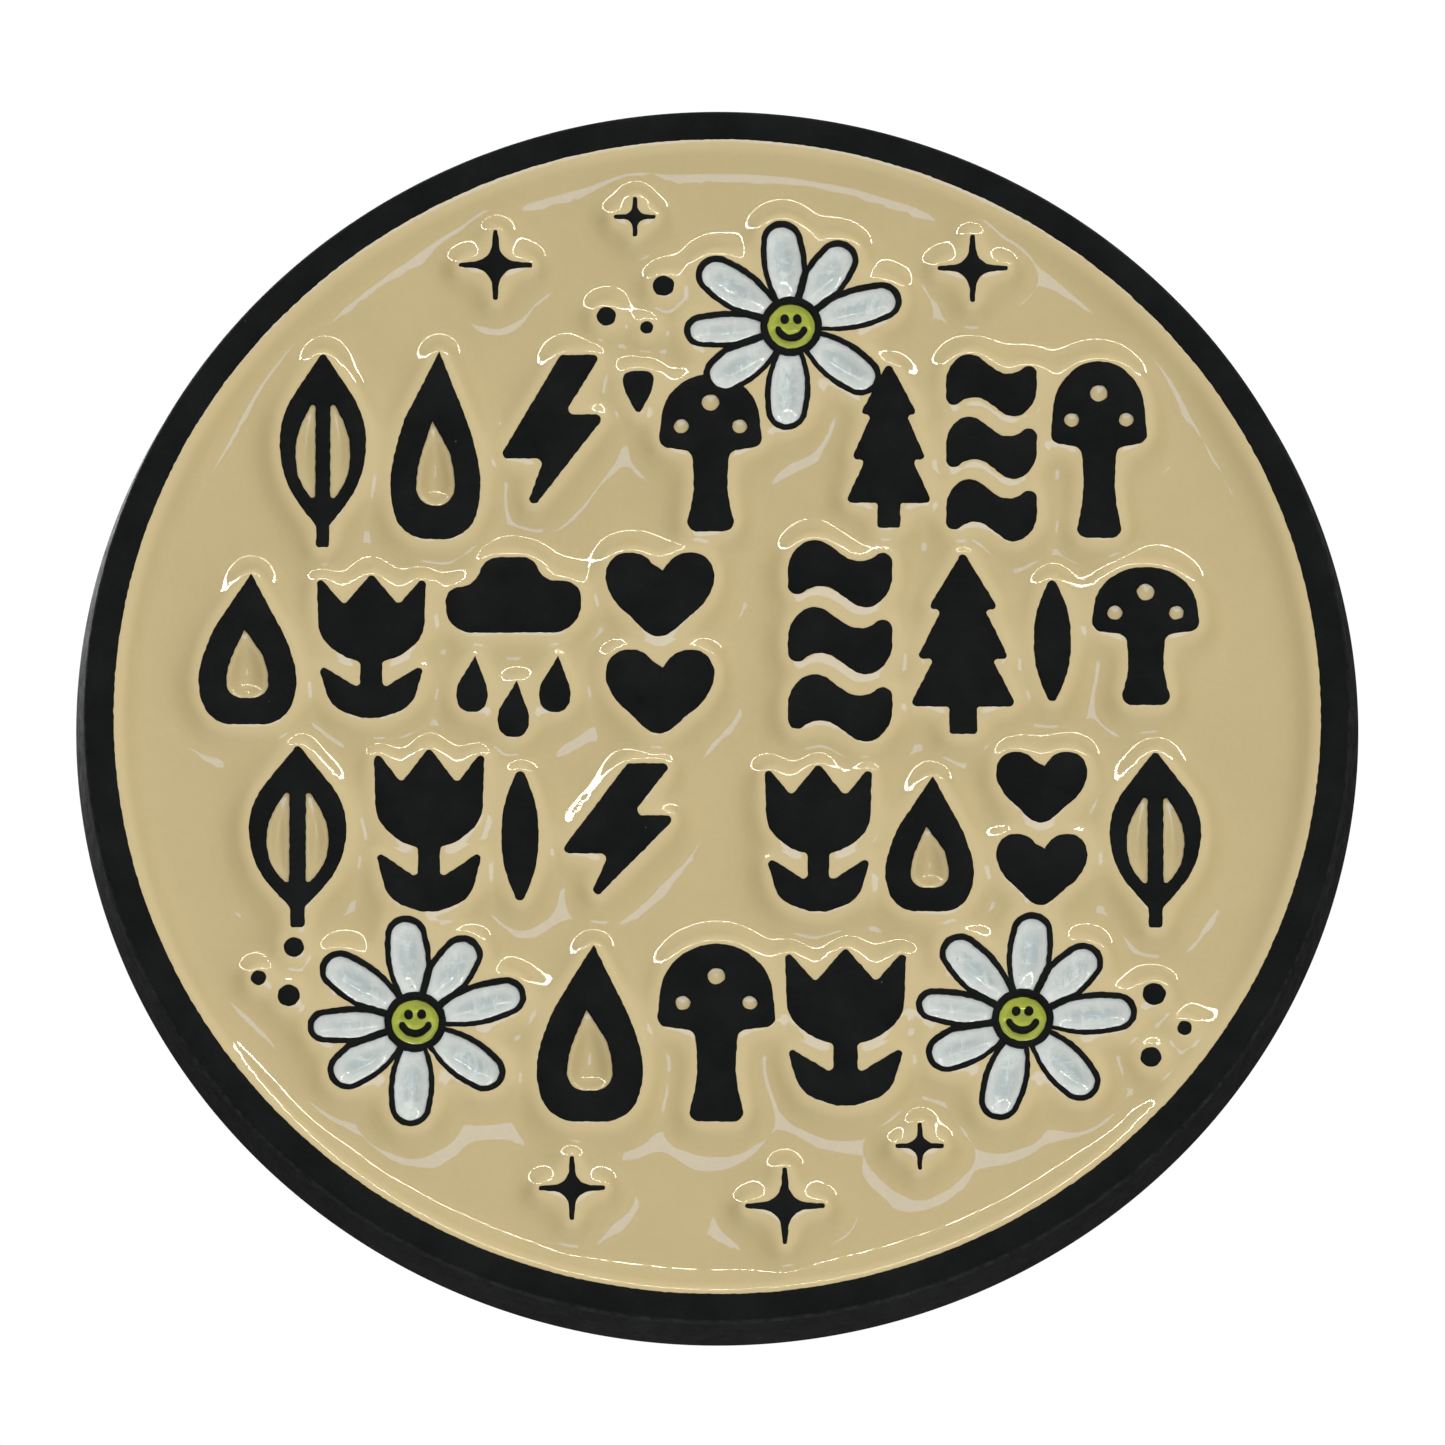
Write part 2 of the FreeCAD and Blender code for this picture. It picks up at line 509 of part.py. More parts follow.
def make_back():
    """{node: shape} for both posts, their solder and their clutches."""
    nodes = {}
    for name, side in (("left", -1), ("right", 1)):
        foot = V(side * POST_SPACING / 2, 0, POST_HEIGHT)
        clutch = foot + V(0, CLUTCH_Y, 0)
        wing = make_wing()
        other_wing = wing.mirror(V(0, 0, 0), V(1, 0, 0))
        outer, inner = (wing, other_wing) if side > 0 else (other_wing, wing)
        placed = {
            "post": (make_post(), foot), "solder": (make_solder(), foot), "clutch_dish": (make_dish(), clutch),
            "clutch_bridge": (make_bridge(), clutch), "clutch_spring": (make_spring(), clutch),
            "clutch_wing_outer": (outer, clutch), "clutch_wing_inner": (inner, clutch)}
        for piece, (shape, place) in placed.items():
            shape.translate(place)
            nodes[f"{name}_{piece}"] = shape
    return nodes


def main():
    os.makedirs("parts", exist_ok=True)
    for name, shape in {**make_face(), **make_back()}.items():
        if not shape.isValid() or not shape.Solids:
            raise RuntimeError(f"{name} isn't a valid solid")
        shape.exportStep(f"parts/{name}.step")


main()
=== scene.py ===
import math

import bmesh
import bpy
import numpy as np
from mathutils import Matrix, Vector
from mathutils.geometry import delaunay_2d_cdt


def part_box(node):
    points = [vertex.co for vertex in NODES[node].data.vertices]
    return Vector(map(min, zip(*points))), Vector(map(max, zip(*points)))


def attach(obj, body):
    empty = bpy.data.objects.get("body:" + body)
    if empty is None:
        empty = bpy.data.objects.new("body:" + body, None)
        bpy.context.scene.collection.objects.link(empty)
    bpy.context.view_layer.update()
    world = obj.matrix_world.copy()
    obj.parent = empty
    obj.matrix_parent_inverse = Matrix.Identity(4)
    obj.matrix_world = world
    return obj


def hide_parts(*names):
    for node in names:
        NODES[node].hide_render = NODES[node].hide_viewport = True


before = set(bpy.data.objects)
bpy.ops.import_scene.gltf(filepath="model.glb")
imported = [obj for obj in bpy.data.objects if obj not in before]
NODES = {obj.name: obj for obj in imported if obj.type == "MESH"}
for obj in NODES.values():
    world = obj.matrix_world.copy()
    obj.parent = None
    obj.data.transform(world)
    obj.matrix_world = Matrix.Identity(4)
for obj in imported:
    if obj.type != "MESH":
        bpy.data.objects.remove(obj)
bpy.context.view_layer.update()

bl_info = {
    "name": "Enamel Pin",
    "version": (1, 0, 0),
    "blender": (4, 5, 0),
    "location": "3D View > Sidebar > Enamel Pin",
    "description": "Builds a soft-enamel lapel pin around its packed frame",
    "category": "Object",
}

MM = 0.001
ENAMEL_NODES = sorted(n for n in NODES if "enamel" in n or "daisy" in n)
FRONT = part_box("struck_plate")[0][1] / MM
PLATE_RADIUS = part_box("struck_plate")[1][0] / MM
POOL_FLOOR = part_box("cream_enamel_field")[1][1] / MM
OUTLINES = {}  # each enamel node's wall outlines, once they are worked out

# Plate, in millimetres
FRONT_RADIUS = PLATE_RADIUS - 0.24  # the side wall leans in towards the front
BACK_EDGE = 0.2  # rounding of the back's outer edge
BORDER_WIDTH, BORDER_HEIGHT = 1.2, 0.15  # raised border round the back
RIM_SEGMENTS = 640  # corners of the plate's outline
WALL_WANDER = 0.0032  # how far each sine wave moves the pool walls
FIELD_SPACING, SMALL_SPACING = 0.06, 0.045  # between a wall's points, in the background and in smaller pools
DAISY_INSET = 0.03  # how far the daisies' walls stand inside the CAD outlines

# Enamel
SETTLING = 0.55  # reach of the settled field, as a share of the wetting
SWELL_SLOPE = 0.0006  # how far each swell moves the enamel, as a share of its wavelength

# Posts and clutches, in millimetres
POST_RADIUS, NOTCH_RADIUS, NOTCH_Y, POINT_LENGTH = 0.575, 0.43, 5.7, 1.2
SHEET = 0.35  # thickness of the stamped metal
HOLE_RADIUS, FUNNEL_WIDTH, FUNNEL_HEIGHT = 0.75, 0.95, 0.7
WIRE_SIDES = 20
WELD, WIRE_WELD = 0.0005, 0.0002  # vertices closer than this are merged

# Stage
VIEW_WIDTH = 42.89107  # millimetres across the view, at the plate's front
VIEW_CENTRE = (0.156, -0.25)  # millimetres to the right of the plate's axis, and above it
SENSOR_WIDTH = 36.0  # millimetres
FLOOR_HEIGHT, FLOOR_REACH = -0.75, 5.0  # metres
CARD_DISTANCE = 0.45  # metres from the pin to the lamps that only reflections show


# ---- flat regions: outlines, distances and triangles, in millimetres across x and z ------------------------

def front_outlines(node):
    """Closed outlines of a CAD node's flat front, with the node on the left as the front is seen."""
    mesh = bmesh.new()
    mesh.from_mesh(NODES[node].data)
    bmesh.ops.remove_doubles(mesh, verts=mesh.verts, dist=1e-7)
    front = min(v.co.y for v in mesh.verts) + 2e-6
    flat = [f for f in mesh.faces if all(v.co.y < front for v in f.verts)]
    in_front = set(flat)  # only asked, never walked through, so that each run gives the outlines in one order
    following = {}
    for face in flat:
        for corner in face.loops:
            if sum(f in in_front for f in corner.edge.link_faces) == 1:
                following.setdefault(corner.vert, []).append(corner.link_loop_next.vert)
    outlines = []
    while following:
        start = here = next(iter(following))
        points = []
        while True:
            points.append((here.co.x / MM, here.co.z / MM))
            onward = following[here].pop()
            if not following[here]:
                del following[here]
            here = onward
            if here is start:
                break
        outlines.append(np.array(points))
    mesh.free()
    return outlines


def resampled(outline, spacing):
    """Points about spacing apart on a smooth closed curve through an outline's corners. Each piece is a cubic
    Hermite curve: its end directions are the mean of the two chords that meet there, the shorter one counting
    more, but a sharp corner keeps each side's own direction, and a chord much longer than its neighbour
    counts as straight."""
    gap = np.linalg.norm(np.roll(outline, -1, 0) - outline, axis=1)
    outline = outline[gap > min(0.02, 0.3 * np.median(gap))]
    chord = np.roll(outline, -1, 0) - outline
    length = np.linalg.norm(chord, axis=1, keepdims=True)
    along = chord / length
    before, length_before = np.roll(along, 1, 0), np.roll(length, 1, 0)
    turn = before * length + along * length_before
    turn = np.where(length > 2.5 * length_before, along, turn)
    turn = np.where(length_before > 2.5 * length, before, turn)
    turn /= np.linalg.norm(turn, axis=1, keepdims=True)
    sharp = (before * along).sum(1, keepdims=True) < math.cos(math.radians(78))
    leaving = np.where(sharp, along, turn)
    arriving = np.roll(np.where(sharp, before, turn), -1, 0)
    pieces = np.maximum(1, np.round(length[:, 0] / spacing).astype(int))
    which = np.repeat(np.arange(len(outline)), pieces)
    step = np.arange(len(which)) - np.repeat(np.cumsum(pieces) - pieces, pieces)
    t = (step / pieces[which])[:, None]
    start, end = outline[which], np.roll(outline, -1, 0)[which]
    return ((2 * t**3 - 3 * t**2 + 1) * start + (t**3 - 2 * t**2 + t) * (leaving * length)[which]
            + (3 * t**2 - 2 * t**3) * end + (t**3 - t**2) * (arriving * length)[which])


def uneven(points):
    """Points moved by a sum of short sine waves in each direction, up to about two hundredths of a
    millimetre, as a milled die leaves an edge."""
    rng = np.random.default_rng(3)
    moved = points.copy()
    for wavelength in (0.2, 0.24, 0.29, 0.37, 0.55, 1.3):
        for axis in (0, 1):
            way, phase = rng.uniform(0, 2 * math.pi, 2)
            along = points @ [math.cos(way), math.sin(way)]
            moved[:, axis] += WALL_WANDER * np.sin(along * 2 * math.pi / wavelength + phase)
    return moved


def leftward(outline):
    """Unit vectors across a closed outline, to its left."""
    along = np.roll(outline, -1, 0) - np.roll(outline, 1, 0)
    along /= np.maximum(np.linalg.norm(along, axis=1, keepdims=True), 1e-9)
    return np.stack([-along[:, 1], along[:, 0]], 1)


class Raster:
    """Square cells over some outlines' box, in which the cells inside the outlines are marked: along a row of
    cells, each outline that crosses it turns inside into outside and back."""

    def __init__(self, outlines, cell, margin=0.1):
        a = np.concatenate(outlines)
        b = np.concatenate([np.roll(o, -1, 0) for o in outlines])
        self.cell, self.low, self.high = cell, a.min(0) - margin, a.max(0) + margin
        columns, rows = np.ceil((self.high - self.low) / cell).astype(int)
        ends = np.stack([self.place(a)[:, 1], self.place(b)[:, 1]], 1)
        low, high = np.ceil(ends.min(1)).astype(int), np.ceil(ends.max(1)).astype(int)
        which = np.repeat(np.arange(len(a)), high - low)
        row = low[which] + np.arange(len(which)) - np.repeat(np.cumsum(high - low) - (high - low), high - low)
        share = (row - ends[which, 0]) / (ends[which, 1] - ends[which, 0])
        column = np.ceil(self.place(a[which] + share[:, None] * (b[which] - a[which]))[:, 0]).astype(int)
        toggles = np.zeros((rows, columns + 1), int)
        np.add.at(toggles, (row, np.clip(column, 0, columns)), 1)
        self.inside = (np.cumsum(toggles, 1)[:, :-1] % 2).astype(bool)

    def place(self, points):
        """Points as fractions of a column and a row, with whole numbers at the cells' middles."""
        return (points - self.low) / self.cell - 0.5

    def read(self, grid, points):
        """The grid's values in the cells that hold the points."""
        cells = np.round(self.place(points)).astype(int)
        return grid[np.clip(cells[:, 1], 0, grid.shape[0] - 1), np.clip(cells[:, 0], 0, grid.shape[1] - 1)]

    def depth(self, reach):
        """Each inside cell's distance to the nearest outside one, up to reach: the least along rows, then the
        least of the two distances' squares along columns."""
        steps = int(reach / self.cell) + 1
        flat = np.where(self.inside, np.float32(steps + 1), np.float32(0))
        across = flat
        for k in range(1, steps + 1):
            for way in (1, -1):
                across = np.minimum(across, shifted(flat, way * k, 1) + k)
        squared = across**2
        for k in range(1, steps + 1):
            for way in (1, -1):
                squared = np.minimum(squared, shifted(across, way * k, 0) ** 2 + k * k)
        return np.sqrt(squared) * self.cell


def shifted(grid, step, axis):
    """The grid moved by some cells along an axis, with zeros coming in."""
    moved = np.roll(grid, step, axis)
    edge = [slice(None), slice(None)]
    edge[axis] = slice(0, step) if step > 0 else slice(step, None)
    moved[tuple(edge)] = 0
    return moved


def lattice(spacing, low, high):
    """Points of a triangular lattice over a box: rows the height of its triangles apart, each second row
    moved by half a spacing."""
    rows = np.arange(low[1], high[1], spacing * math.sqrt(0.75))
    columns = np.arange(low[0], high[0], spacing)
    x, z = np.meshgrid(columns, rows)
    x = x + (np.arange(len(rows)) % 2)[:, None] * spacing / 2
    return np.stack([x.ravel(), z.ravel()], 1)


def triangulated(outlines, inner_points):
    """(points, triangles) of the region on the left of the outlines. Triangles with an inner point belong to
    it. Of the rest, one that runs along an outline belongs if it runs the same way, and any other if its
    middle is inside."""
    border = np.concatenate(outlines)
    points = np.concatenate([border, inner_points]) if len(inner_points) else border
    firsts = np.cumsum([0] + [len(o) for o in outlines])
    ahead = np.concatenate([first + np.roll(np.arange(len(o)), -1) for first, o in zip(firsts, outlines)])
    edges = np.stack([np.arange(len(border)), ahead], 1)
    found = delaunay_2d_cdt([Vector(p) for p in points.tolist()], edges.tolist(), [], 0, 1e-7)
    source = np.array([o[0] if o else -1 for o in found[3]])
    triangles = source[np.array([f for f in found[2] if len(f) == 3])]
    triangles = triangles[(triangles >= 0).all(1)]
    a, b, c = (points[triangles[:, k]] for k in range(3))
    clockwise = (b[:, 0] - a[:, 0]) * (c[:, 1] - a[:, 1]) < (b[:, 1] - a[:, 1]) * (c[:, 0] - a[:, 0])
    triangles[clockwise] = triangles[clockwise][:, ::-1]
    count = len(border)
    has_inner = (triangles >= count).any(1)
    pairs = np.stack([triangles, np.roll(triangles, -1, 1)], 2)
    known = edges[:, 0] * (count + 1) + edges[:, 1]
    code = pairs[..., 0] * (count + 1) + pairs[..., 1]
    back = pairs[..., 1] * (count + 1) + pairs[..., 0]
    inner_pair = (pairs < count).all(2)
    same = (np.isin(code, known) & inner_pair).any(1)
    opposite = (np.isin(back, known) & inner_pair).any(1)
    open_ones = ~(has_inner | same | opposite)
    keep = has_inner | (same & ~opposite)
    keep[open_ones] = surrounded(outlines, points[triangles[open_ones]].mean(1))
    return points, triangles[keep]


def surrounded(outlines, points):
    """Whether each point is inside the outlines: a line from it to the right crosses them an odd number of
    times."""
    a = np.concatenate(outlines)
    b = np.concatenate([np.roll(o, -1, 0) for o in outlines])
    result = []
    for some in np.array_split(points, max(1, len(points) // 500)):
        x, z = some[:, :1], some[:, 1:]
        spans = (a[:, 1] > z) != (b[:, 1] > z)
        with np.errstate(divide="ignore", invalid="ignore"):
            crossing = a[:, 0] + (z - a[:, 1]) / (b[:, 1] - a[:, 1]) * (b[:, 0] - a[:, 0])
        result.append((spans & (crossing > x)).sum(1) % 2 == 1)
    return np.concatenate(result)


def settled(points, triangles, pinned, reach):
    """A field that is 1 at the pinned points and fades away from them: the field less reach squared times its
    own Laplacian is nothing. Solved on linear triangles by conjugate gradients."""
    count = len(points)
    a, b, c = (points[triangles[:, k]] for k in range(3))
    twice = (b[:, 0] - a[:, 0]) * (c[:, 1] - a[:, 1]) - (b[:, 1] - a[:, 1]) * (c[:, 0] - a[:, 0])
    area = np.abs(twice) / 2 + 1e-12
    mass = np.bincount(triangles.ravel(), np.repeat(area / 3, 3), count) / reach**2 + 1e-12
    ends, weights = [], []
    for k in range(3):
        i, j, o = triangles[:, k], triangles[:, (k + 1) % 3], triangles[:, (k + 2) % 3]
        cotangent = ((points[i] - points[o]) * (points[j] - points[o])).sum(1) / (2 * area)
        ends.append(np.stack([i, j], 1))
        weights.append(np.clip(cotangent / 2, 0, 50))
    (i, j), weight = np.concatenate(ends).T, np.concatenate(weights)

    def pull(h):
        flow = weight * (h[i] - h[j])
        return mass * h + np.bincount(i, flow, count) - np.bincount(j, flow, count)

    diagonal = mass + np.bincount(i, weight, count) + np.bincount(j, weight, count)
    free = ~pinned
    h = np.where(pinned, 1.0, 0.0)
    residual = np.where(free, -pull(h), 0.0)
    scaled = residual / diagonal
    way, product = scaled.copy(), (residual * scaled).sum()
    for _ in range(400):
        pulled = np.where(free, pull(way), 0.0)
        step = product / max((way * pulled).sum(), 1e-30)
        h += step * way
        residual -= step * pulled
        scaled = residual / diagonal
        fresh = (residual * scaled).sum()
        if fresh < 1e-12:
            break
        way = scaled + (fresh / product) * way
        product = fresh
    return h


# ---- meshes ------------------------------------------------------------------------------------------------

def new_piece(name, vertices, faces, material, body, replaced, weld=None):
    """A smooth mesh object from vertices in millimetres, which rides on its body and stands for a CAD
    node."""
    mesh = bpy.data.meshes.new(name)
    mesh.from_pydata((np.asarray(vertices) * MM).tolist(), [], [list(f) for f in faces])
    if weld:
        work = bmesh.new()
        work.from_mesh(mesh)
        bmesh.ops.remove_doubles(work, verts=work.verts, dist=weld * MM)
        bmesh.ops.dissolve_degenerate(work, dist=1e-9, edges=work.edges)
        bmesh.ops.recalc_face_normals(work, faces=work.faces)
        work.to_mesh(mesh)
        work.free()
    mesh.validate()
    mesh.shade_smooth()
    piece = bpy.data.objects.new(name, mesh)
    bpy.context.scene.collection.objects.link(piece)
    mesh.materials.append(material)
    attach(piece, body)
    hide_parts(replaced)
    return piece


def in_space(points, y):
    """Points (x, z) placed at depth y."""
    return np.stack([points[:, 0], np.broadcast_to(y, len(points)), points[:, 1]], 1)


def strip(near, far):
    """Quads between two closed rows of vertex numbers."""
    return np.stack([near, np.roll(near, -1), np.roll(far, -1), far], 1)


def ring_quads(rings, count):
    """Quads between neighbouring closed rings of count vertices each, numbered ring by ring."""
    ring, here = np.meshgrid(np.arange(rings - 1), np.arange(count), indexing="ij")
    first, here = ring.ravel() * count, here.ravel()
    ahead = (here + 1) % count
    return np.stack([first + here, first + ahead, first + count + ahead, first + count + here], 1)


def turned(profile, segments, centre=(0.0, 0.0)):
    """(vertices, quads) of a profile of (radius, y) carried round the Y axis through centre: x is the radius
    times the cosine of the turn, and z is the radius times its sine."""
    profile = np.asarray(profile)
    turn = np.arange(segments) * 2 * math.pi / segments
    x = centre[0] + profile[:, :1] * np.cos(turn)
    z = centre[1] + profile[:, :1] * np.sin(turn)
    y = np.broadcast_to(profile[:, 1:], x.shape)
    vertices = np.stack([x, y, z], 2).reshape(-1, 3)
    return vertices, ring_quads(len(profile), segments)


def arc(centre, radius, start, end, steps):
    """Points on an arc in the (radius, y) plane, between two angles in degrees."""
    t = np.radians(np.linspace(start, end, steps + 1))
    return np.stack([centre[0] + radius * np.cos(t), centre[1] + radius * np.sin(t)], 1)


# ---- materials ---------------------------------------------------------------------------------------------

class Finish:
    """Builds a material's nodes from short calls."""

    def __init__(self, name):
        self.material = bpy.data.materials.get(name) or bpy.data.materials.new(name)
        self.material.use_nodes = True
        self.tree = self.material.node_tree
        self.tree.nodes.clear()
        self.shader = self.tree.nodes.new("ShaderNodeBsdfPrincipled")
        output = self.tree.nodes.new("ShaderNodeOutputMaterial")
        self.join(self.shader.outputs[0], output.inputs[0])
        self.place = self.tree.nodes.new("ShaderNodeTexCoord").outputs["Object"]

    def join(self, a, b):
        """Links output a to input b."""
        self.tree.links.new(a, b)

    def put(self, socket, value):
        """Links a socket to an input, or sets the input to a number, a colour or a vector."""
        if isinstance(value, bpy.types.NodeSocket):
            self.join(value, socket)
        elif isinstance(value, (tuple, list)) and len(value) == 3 and socket.type == "RGBA":
            socket.default_value = (*value, 1.0)
        else:
            socket.default_value = value

    def set(self, **values):
        """Puts values into the shader's inputs, which are named with _ for a space."""
        for name, value in values.items():
            self.put(self.shader.inputs[name.replace("_", " ")], value)

    def node(self, kind, inputs, output=0):
        """An output of a new node with its inputs put in."""
        node = self.tree.nodes.new(kind)
        for name, value in inputs.items():
            self.put(node.inputs[name], value)
        return node.outputs[output]

    def stretched(self, scale):
        """The object coordinates times a scale along each axis."""
        return self.node("ShaderNodeMapping", {"Vector": self.place, "Scale": scale})

    def noise(self, size, detail=3.0, roughness=0.5, vector=None):
        """Noise whose features are about size millimetres across."""
        return self.node("ShaderNodeTexNoise", {"Vector": vector or self.place, "Scale": 1 / (size * MM),
                                                "Detail": detail, "Roughness": roughness})

    def ramp(self, value, low, high, low_to=0.0, high_to=1.0):
        """An S-shaped step from low_to, where the value is low, to high_to, where it is high."""
        step = self.node("ShaderNodeMapRange", {"Value": value, "From Min": low, "From Max": high,
                                                "To Min": low_to, "To Max": high_to})
        step.node.interpolation_type = "SMOOTHSTEP"
        return step

    def math(self, operation, a, b):
        """The result of one operation on two values."""
        node = self.tree.nodes.new("ShaderNodeMath")
        node.operation = operation
        self.put(node.inputs[0], a)
        self.put(node.inputs[1], b)
        return node.outputs[0]

    def mix(self, share, a, b):
        """Colour a where the share is 0, and colour b where it is 1."""
        node = self.tree.nodes.new("ShaderNodeMix")
        node.data_type = "RGBA"
        self.put(node.inputs[0], share)
        self.put(node.inputs[6], a)
        self.put(node.inputs[7], b)
        return node.outputs[2]

    def specks(self, size, spread, rarity):
        """1 inside specks of about size millimetres and 0 between them. A cell of about spread millimetres
        has one if its random number passes rarity."""
        scatter = self.tree.nodes.new("ShaderNodeTexVoronoi")
        self.put(scatter.inputs["Vector"], self.place)
        self.put(scatter.inputs["Scale"], 1 / (spread * MM))
        near = self.ramp(scatter.outputs["Distance"], 0.5 * size / spread, 0.3 * size / spread)
        number = self.node("ShaderNodeSeparateColor", {"Color": scatter.outputs["Color"]})
        return self.math("MULTIPLY", near, self.math("GREATER_THAN", number, rarity))

    def depth(self):
        """The object coordinate Y."""
        return self.node("ShaderNodeSeparateXYZ", {"Vector": self.place}, 1)

    def from_middle(self):
        """Distance from the Y axis."""
        flat = self.node("ShaderNodeMapping", {"Vector": self.place, "Scale": (1.0, 0.0, 1.0)})
        length = self.tree.nodes.new("ShaderNodeVectorMath")
        length.operation = "LENGTH"
        self.put(length.inputs[0], flat)
        return length.outputs["Value"]

    def climb(self, low, high):
        """0 where the enamel is low millimetres below the metal, and 1 where it is high millimetres below."""
        return self.ramp(self.depth(), (FRONT + low) * MM, (FRONT + high) * MM)

    def bump(self, height, depth, normal=None):
        """A normal tilted as if the height, from 0 to 1, were depth millimetres, over another normal if
        given."""
        inputs = {"Height": height, "Strength": 1.0, "Distance": depth * MM}
        if normal is not None:
            inputs["Normal"] = normal
        return self.node("ShaderNodeBump", inputs)


def dyed_metal():
    """Nearly black dyed metal: cloudy, with fine grain, lines round the side wall, dust, and a lighter front
    edge that is partly wear and partly a painted highlight."""
    f = Finish("dyed_metal")
    look = bpy.context.scene.enamel_pin
    cloud = f.ramp(f.noise(1.6, 4.0, 0.6), 0.35, 0.7)
    colour = f.mix(cloud, tuple(look.metal_colour), tuple(1.6 * c for c in look.metal_colour))
    dust = f.specks(0.06, 0.7, 0.86)
    colour = f.mix(f.math("MULTIPLY", dust, 0.6), colour, (0.14, 0.12, 0.09))
    # painted highlight and wear: a lighter line along the plate's front edge, where a glint falls
    edge = f.math("MULTIPLY", f.ramp(f.from_middle(), (FRONT_RADIUS - 0.12) * MM, (FRONT_RADIUS - 0.02) * MM),
                  f.ramp(f.depth(), (FRONT + 0.2) * MM, (FRONT + 0.05) * MM))
    worn_edge_and_highlight = f.math("MULTIPLY", edge, f.ramp(f.noise(0.35, 5.0, 0.75), 0.3, 0.8))
    colour = f.mix(f.math("MULTIPLY", worn_edge_and_highlight, 0.6), colour, (0.05, 0.055, 0.052))
    f.set(Base_Color=colour, Specular_IOR_Level=0.06)
    f.set(Roughness=f.ramp(f.noise(0.5, 4.0, 0.65), 0.3, 0.7, 0.36, 0.55))
    grain = f.bump(f.noise(0.1, 3.0, 0.6), 0.006)
    lines = f.bump(f.noise(0.8, 5.0, 0.75, f.stretched((1.0, 9.0, 1.0))), 0.05, normal=grain)
    f.set(Normal=f.bump(f.noise(0.9, 2.0, 0.5), 0.02, normal=lines))
    return f.material


def enamel(name, colour, deep, painted_wall_light, mottle_size=2.6, speck=0.06, climb=(0.2, 0.05)):
    """Glossy enamel: its colour mottled with a deeper one, a tint of painted light where it climbs a wall,
    between the two depths of climb, and rare specks of dust."""
    f = Finish(name)
    mottle = f.ramp(f.noise(mottle_size, 4.0, 0.55), 0.3, 0.72)
    fine = f.ramp(f.noise(0.16, 2.0, 0.6), 0.3, 0.7)
    body = f.mix(f.math("ADD", f.math("MULTIPLY", mottle, 0.6), f.math("MULTIPLY", fine, 0.4)), colour, deep)
    # painted light: a lighter band where the enamel climbs each wall
    body = f.mix(f.climb(*climb), body, painted_wall_light)
    body = f.mix(f.math("MULTIPLY", f.specks(speck, 1.3, 0.93), 0.8), body, (0.1, 0.07, 0.035))
    f.set(Base_Color=body, Roughness=0.45, Specular_IOR_Level=0.3)
    f.set(Coat_Weight=1.0, Coat_Roughness=0.02, Coat_IOR=1.5)
    return f


def petal_enamel():
    """White enamel that is greyer in its middle, which is painted shade, and whiter at its walls, which is
    painted light, with pale streaks both ways that are partly painted highlights, dark specks and a rippled
    gloss."""
    white = tuple(bpy.context.scene.enamel_pin.petal_colour)
    # painted light and shade: a whiter petal edge where the enamel climbs its walls, against a greyer, shaded
    # middle
    edge = (0.64, 0.675, 0.645)
    f = enamel("petal_enamel", white, tuple(c * k for c, k in zip(white, (1.2, 1.14, 1.1))), edge,
               mottle_size=0.7, speck=0.05, climb=(0.36, 0.2))
    body = f.shader.inputs["Base Color"].links[0].from_socket
    # pale streaks, partly texture and partly painted highlight, brighter than the petal's edge white
    for stretch in ((1.0, 1.0, 0.3), (0.35, 1.0, 1.0)):
        streak_and_highlight = f.ramp(f.noise(0.28, 6.0, 0.75, f.stretched(stretch)), 0.5, 0.64)
        body = f.mix(f.math("MULTIPLY", streak_and_highlight, 0.8), body, tuple(1.12 * c for c in edge))
    body = f.mix(f.math("MULTIPLY", f.specks(0.07, 0.6, 0.86), 0.85), body, (0.1, 0.11, 0.12))
    f.set(Base_Color=body, Coat_Roughness=0.07, Coat_Normal=f.bump(f.noise(0.45, 3.0, 0.6), 0.012))
    return f.material


def plated_metal(name, colour, roughness, scratch=0.002):
    """Plated or bare steel with fine handling scratches and cloudy patches."""
    f = Finish(name)
    patch = f.ramp(f.noise(1.2, 4.0, 0.6), 0.3, 0.7)
    f.set(Base_Color=f.mix(patch, colour, tuple(0.86 * c for c in colour)), Metallic=1.0)
    f.set(Roughness=f.ramp(f.noise(0.4, 4.0, 0.7), 0.3, 0.7, roughness, 1.5 * roughness))
    f.set(Normal=f.bump(f.noise(0.2, 3.0, 0.7, f.stretched((1.0, 4.0, 1.0))), scratch))
    return f.material


# ---- settings ----------------------------------------------------------------------------------------------

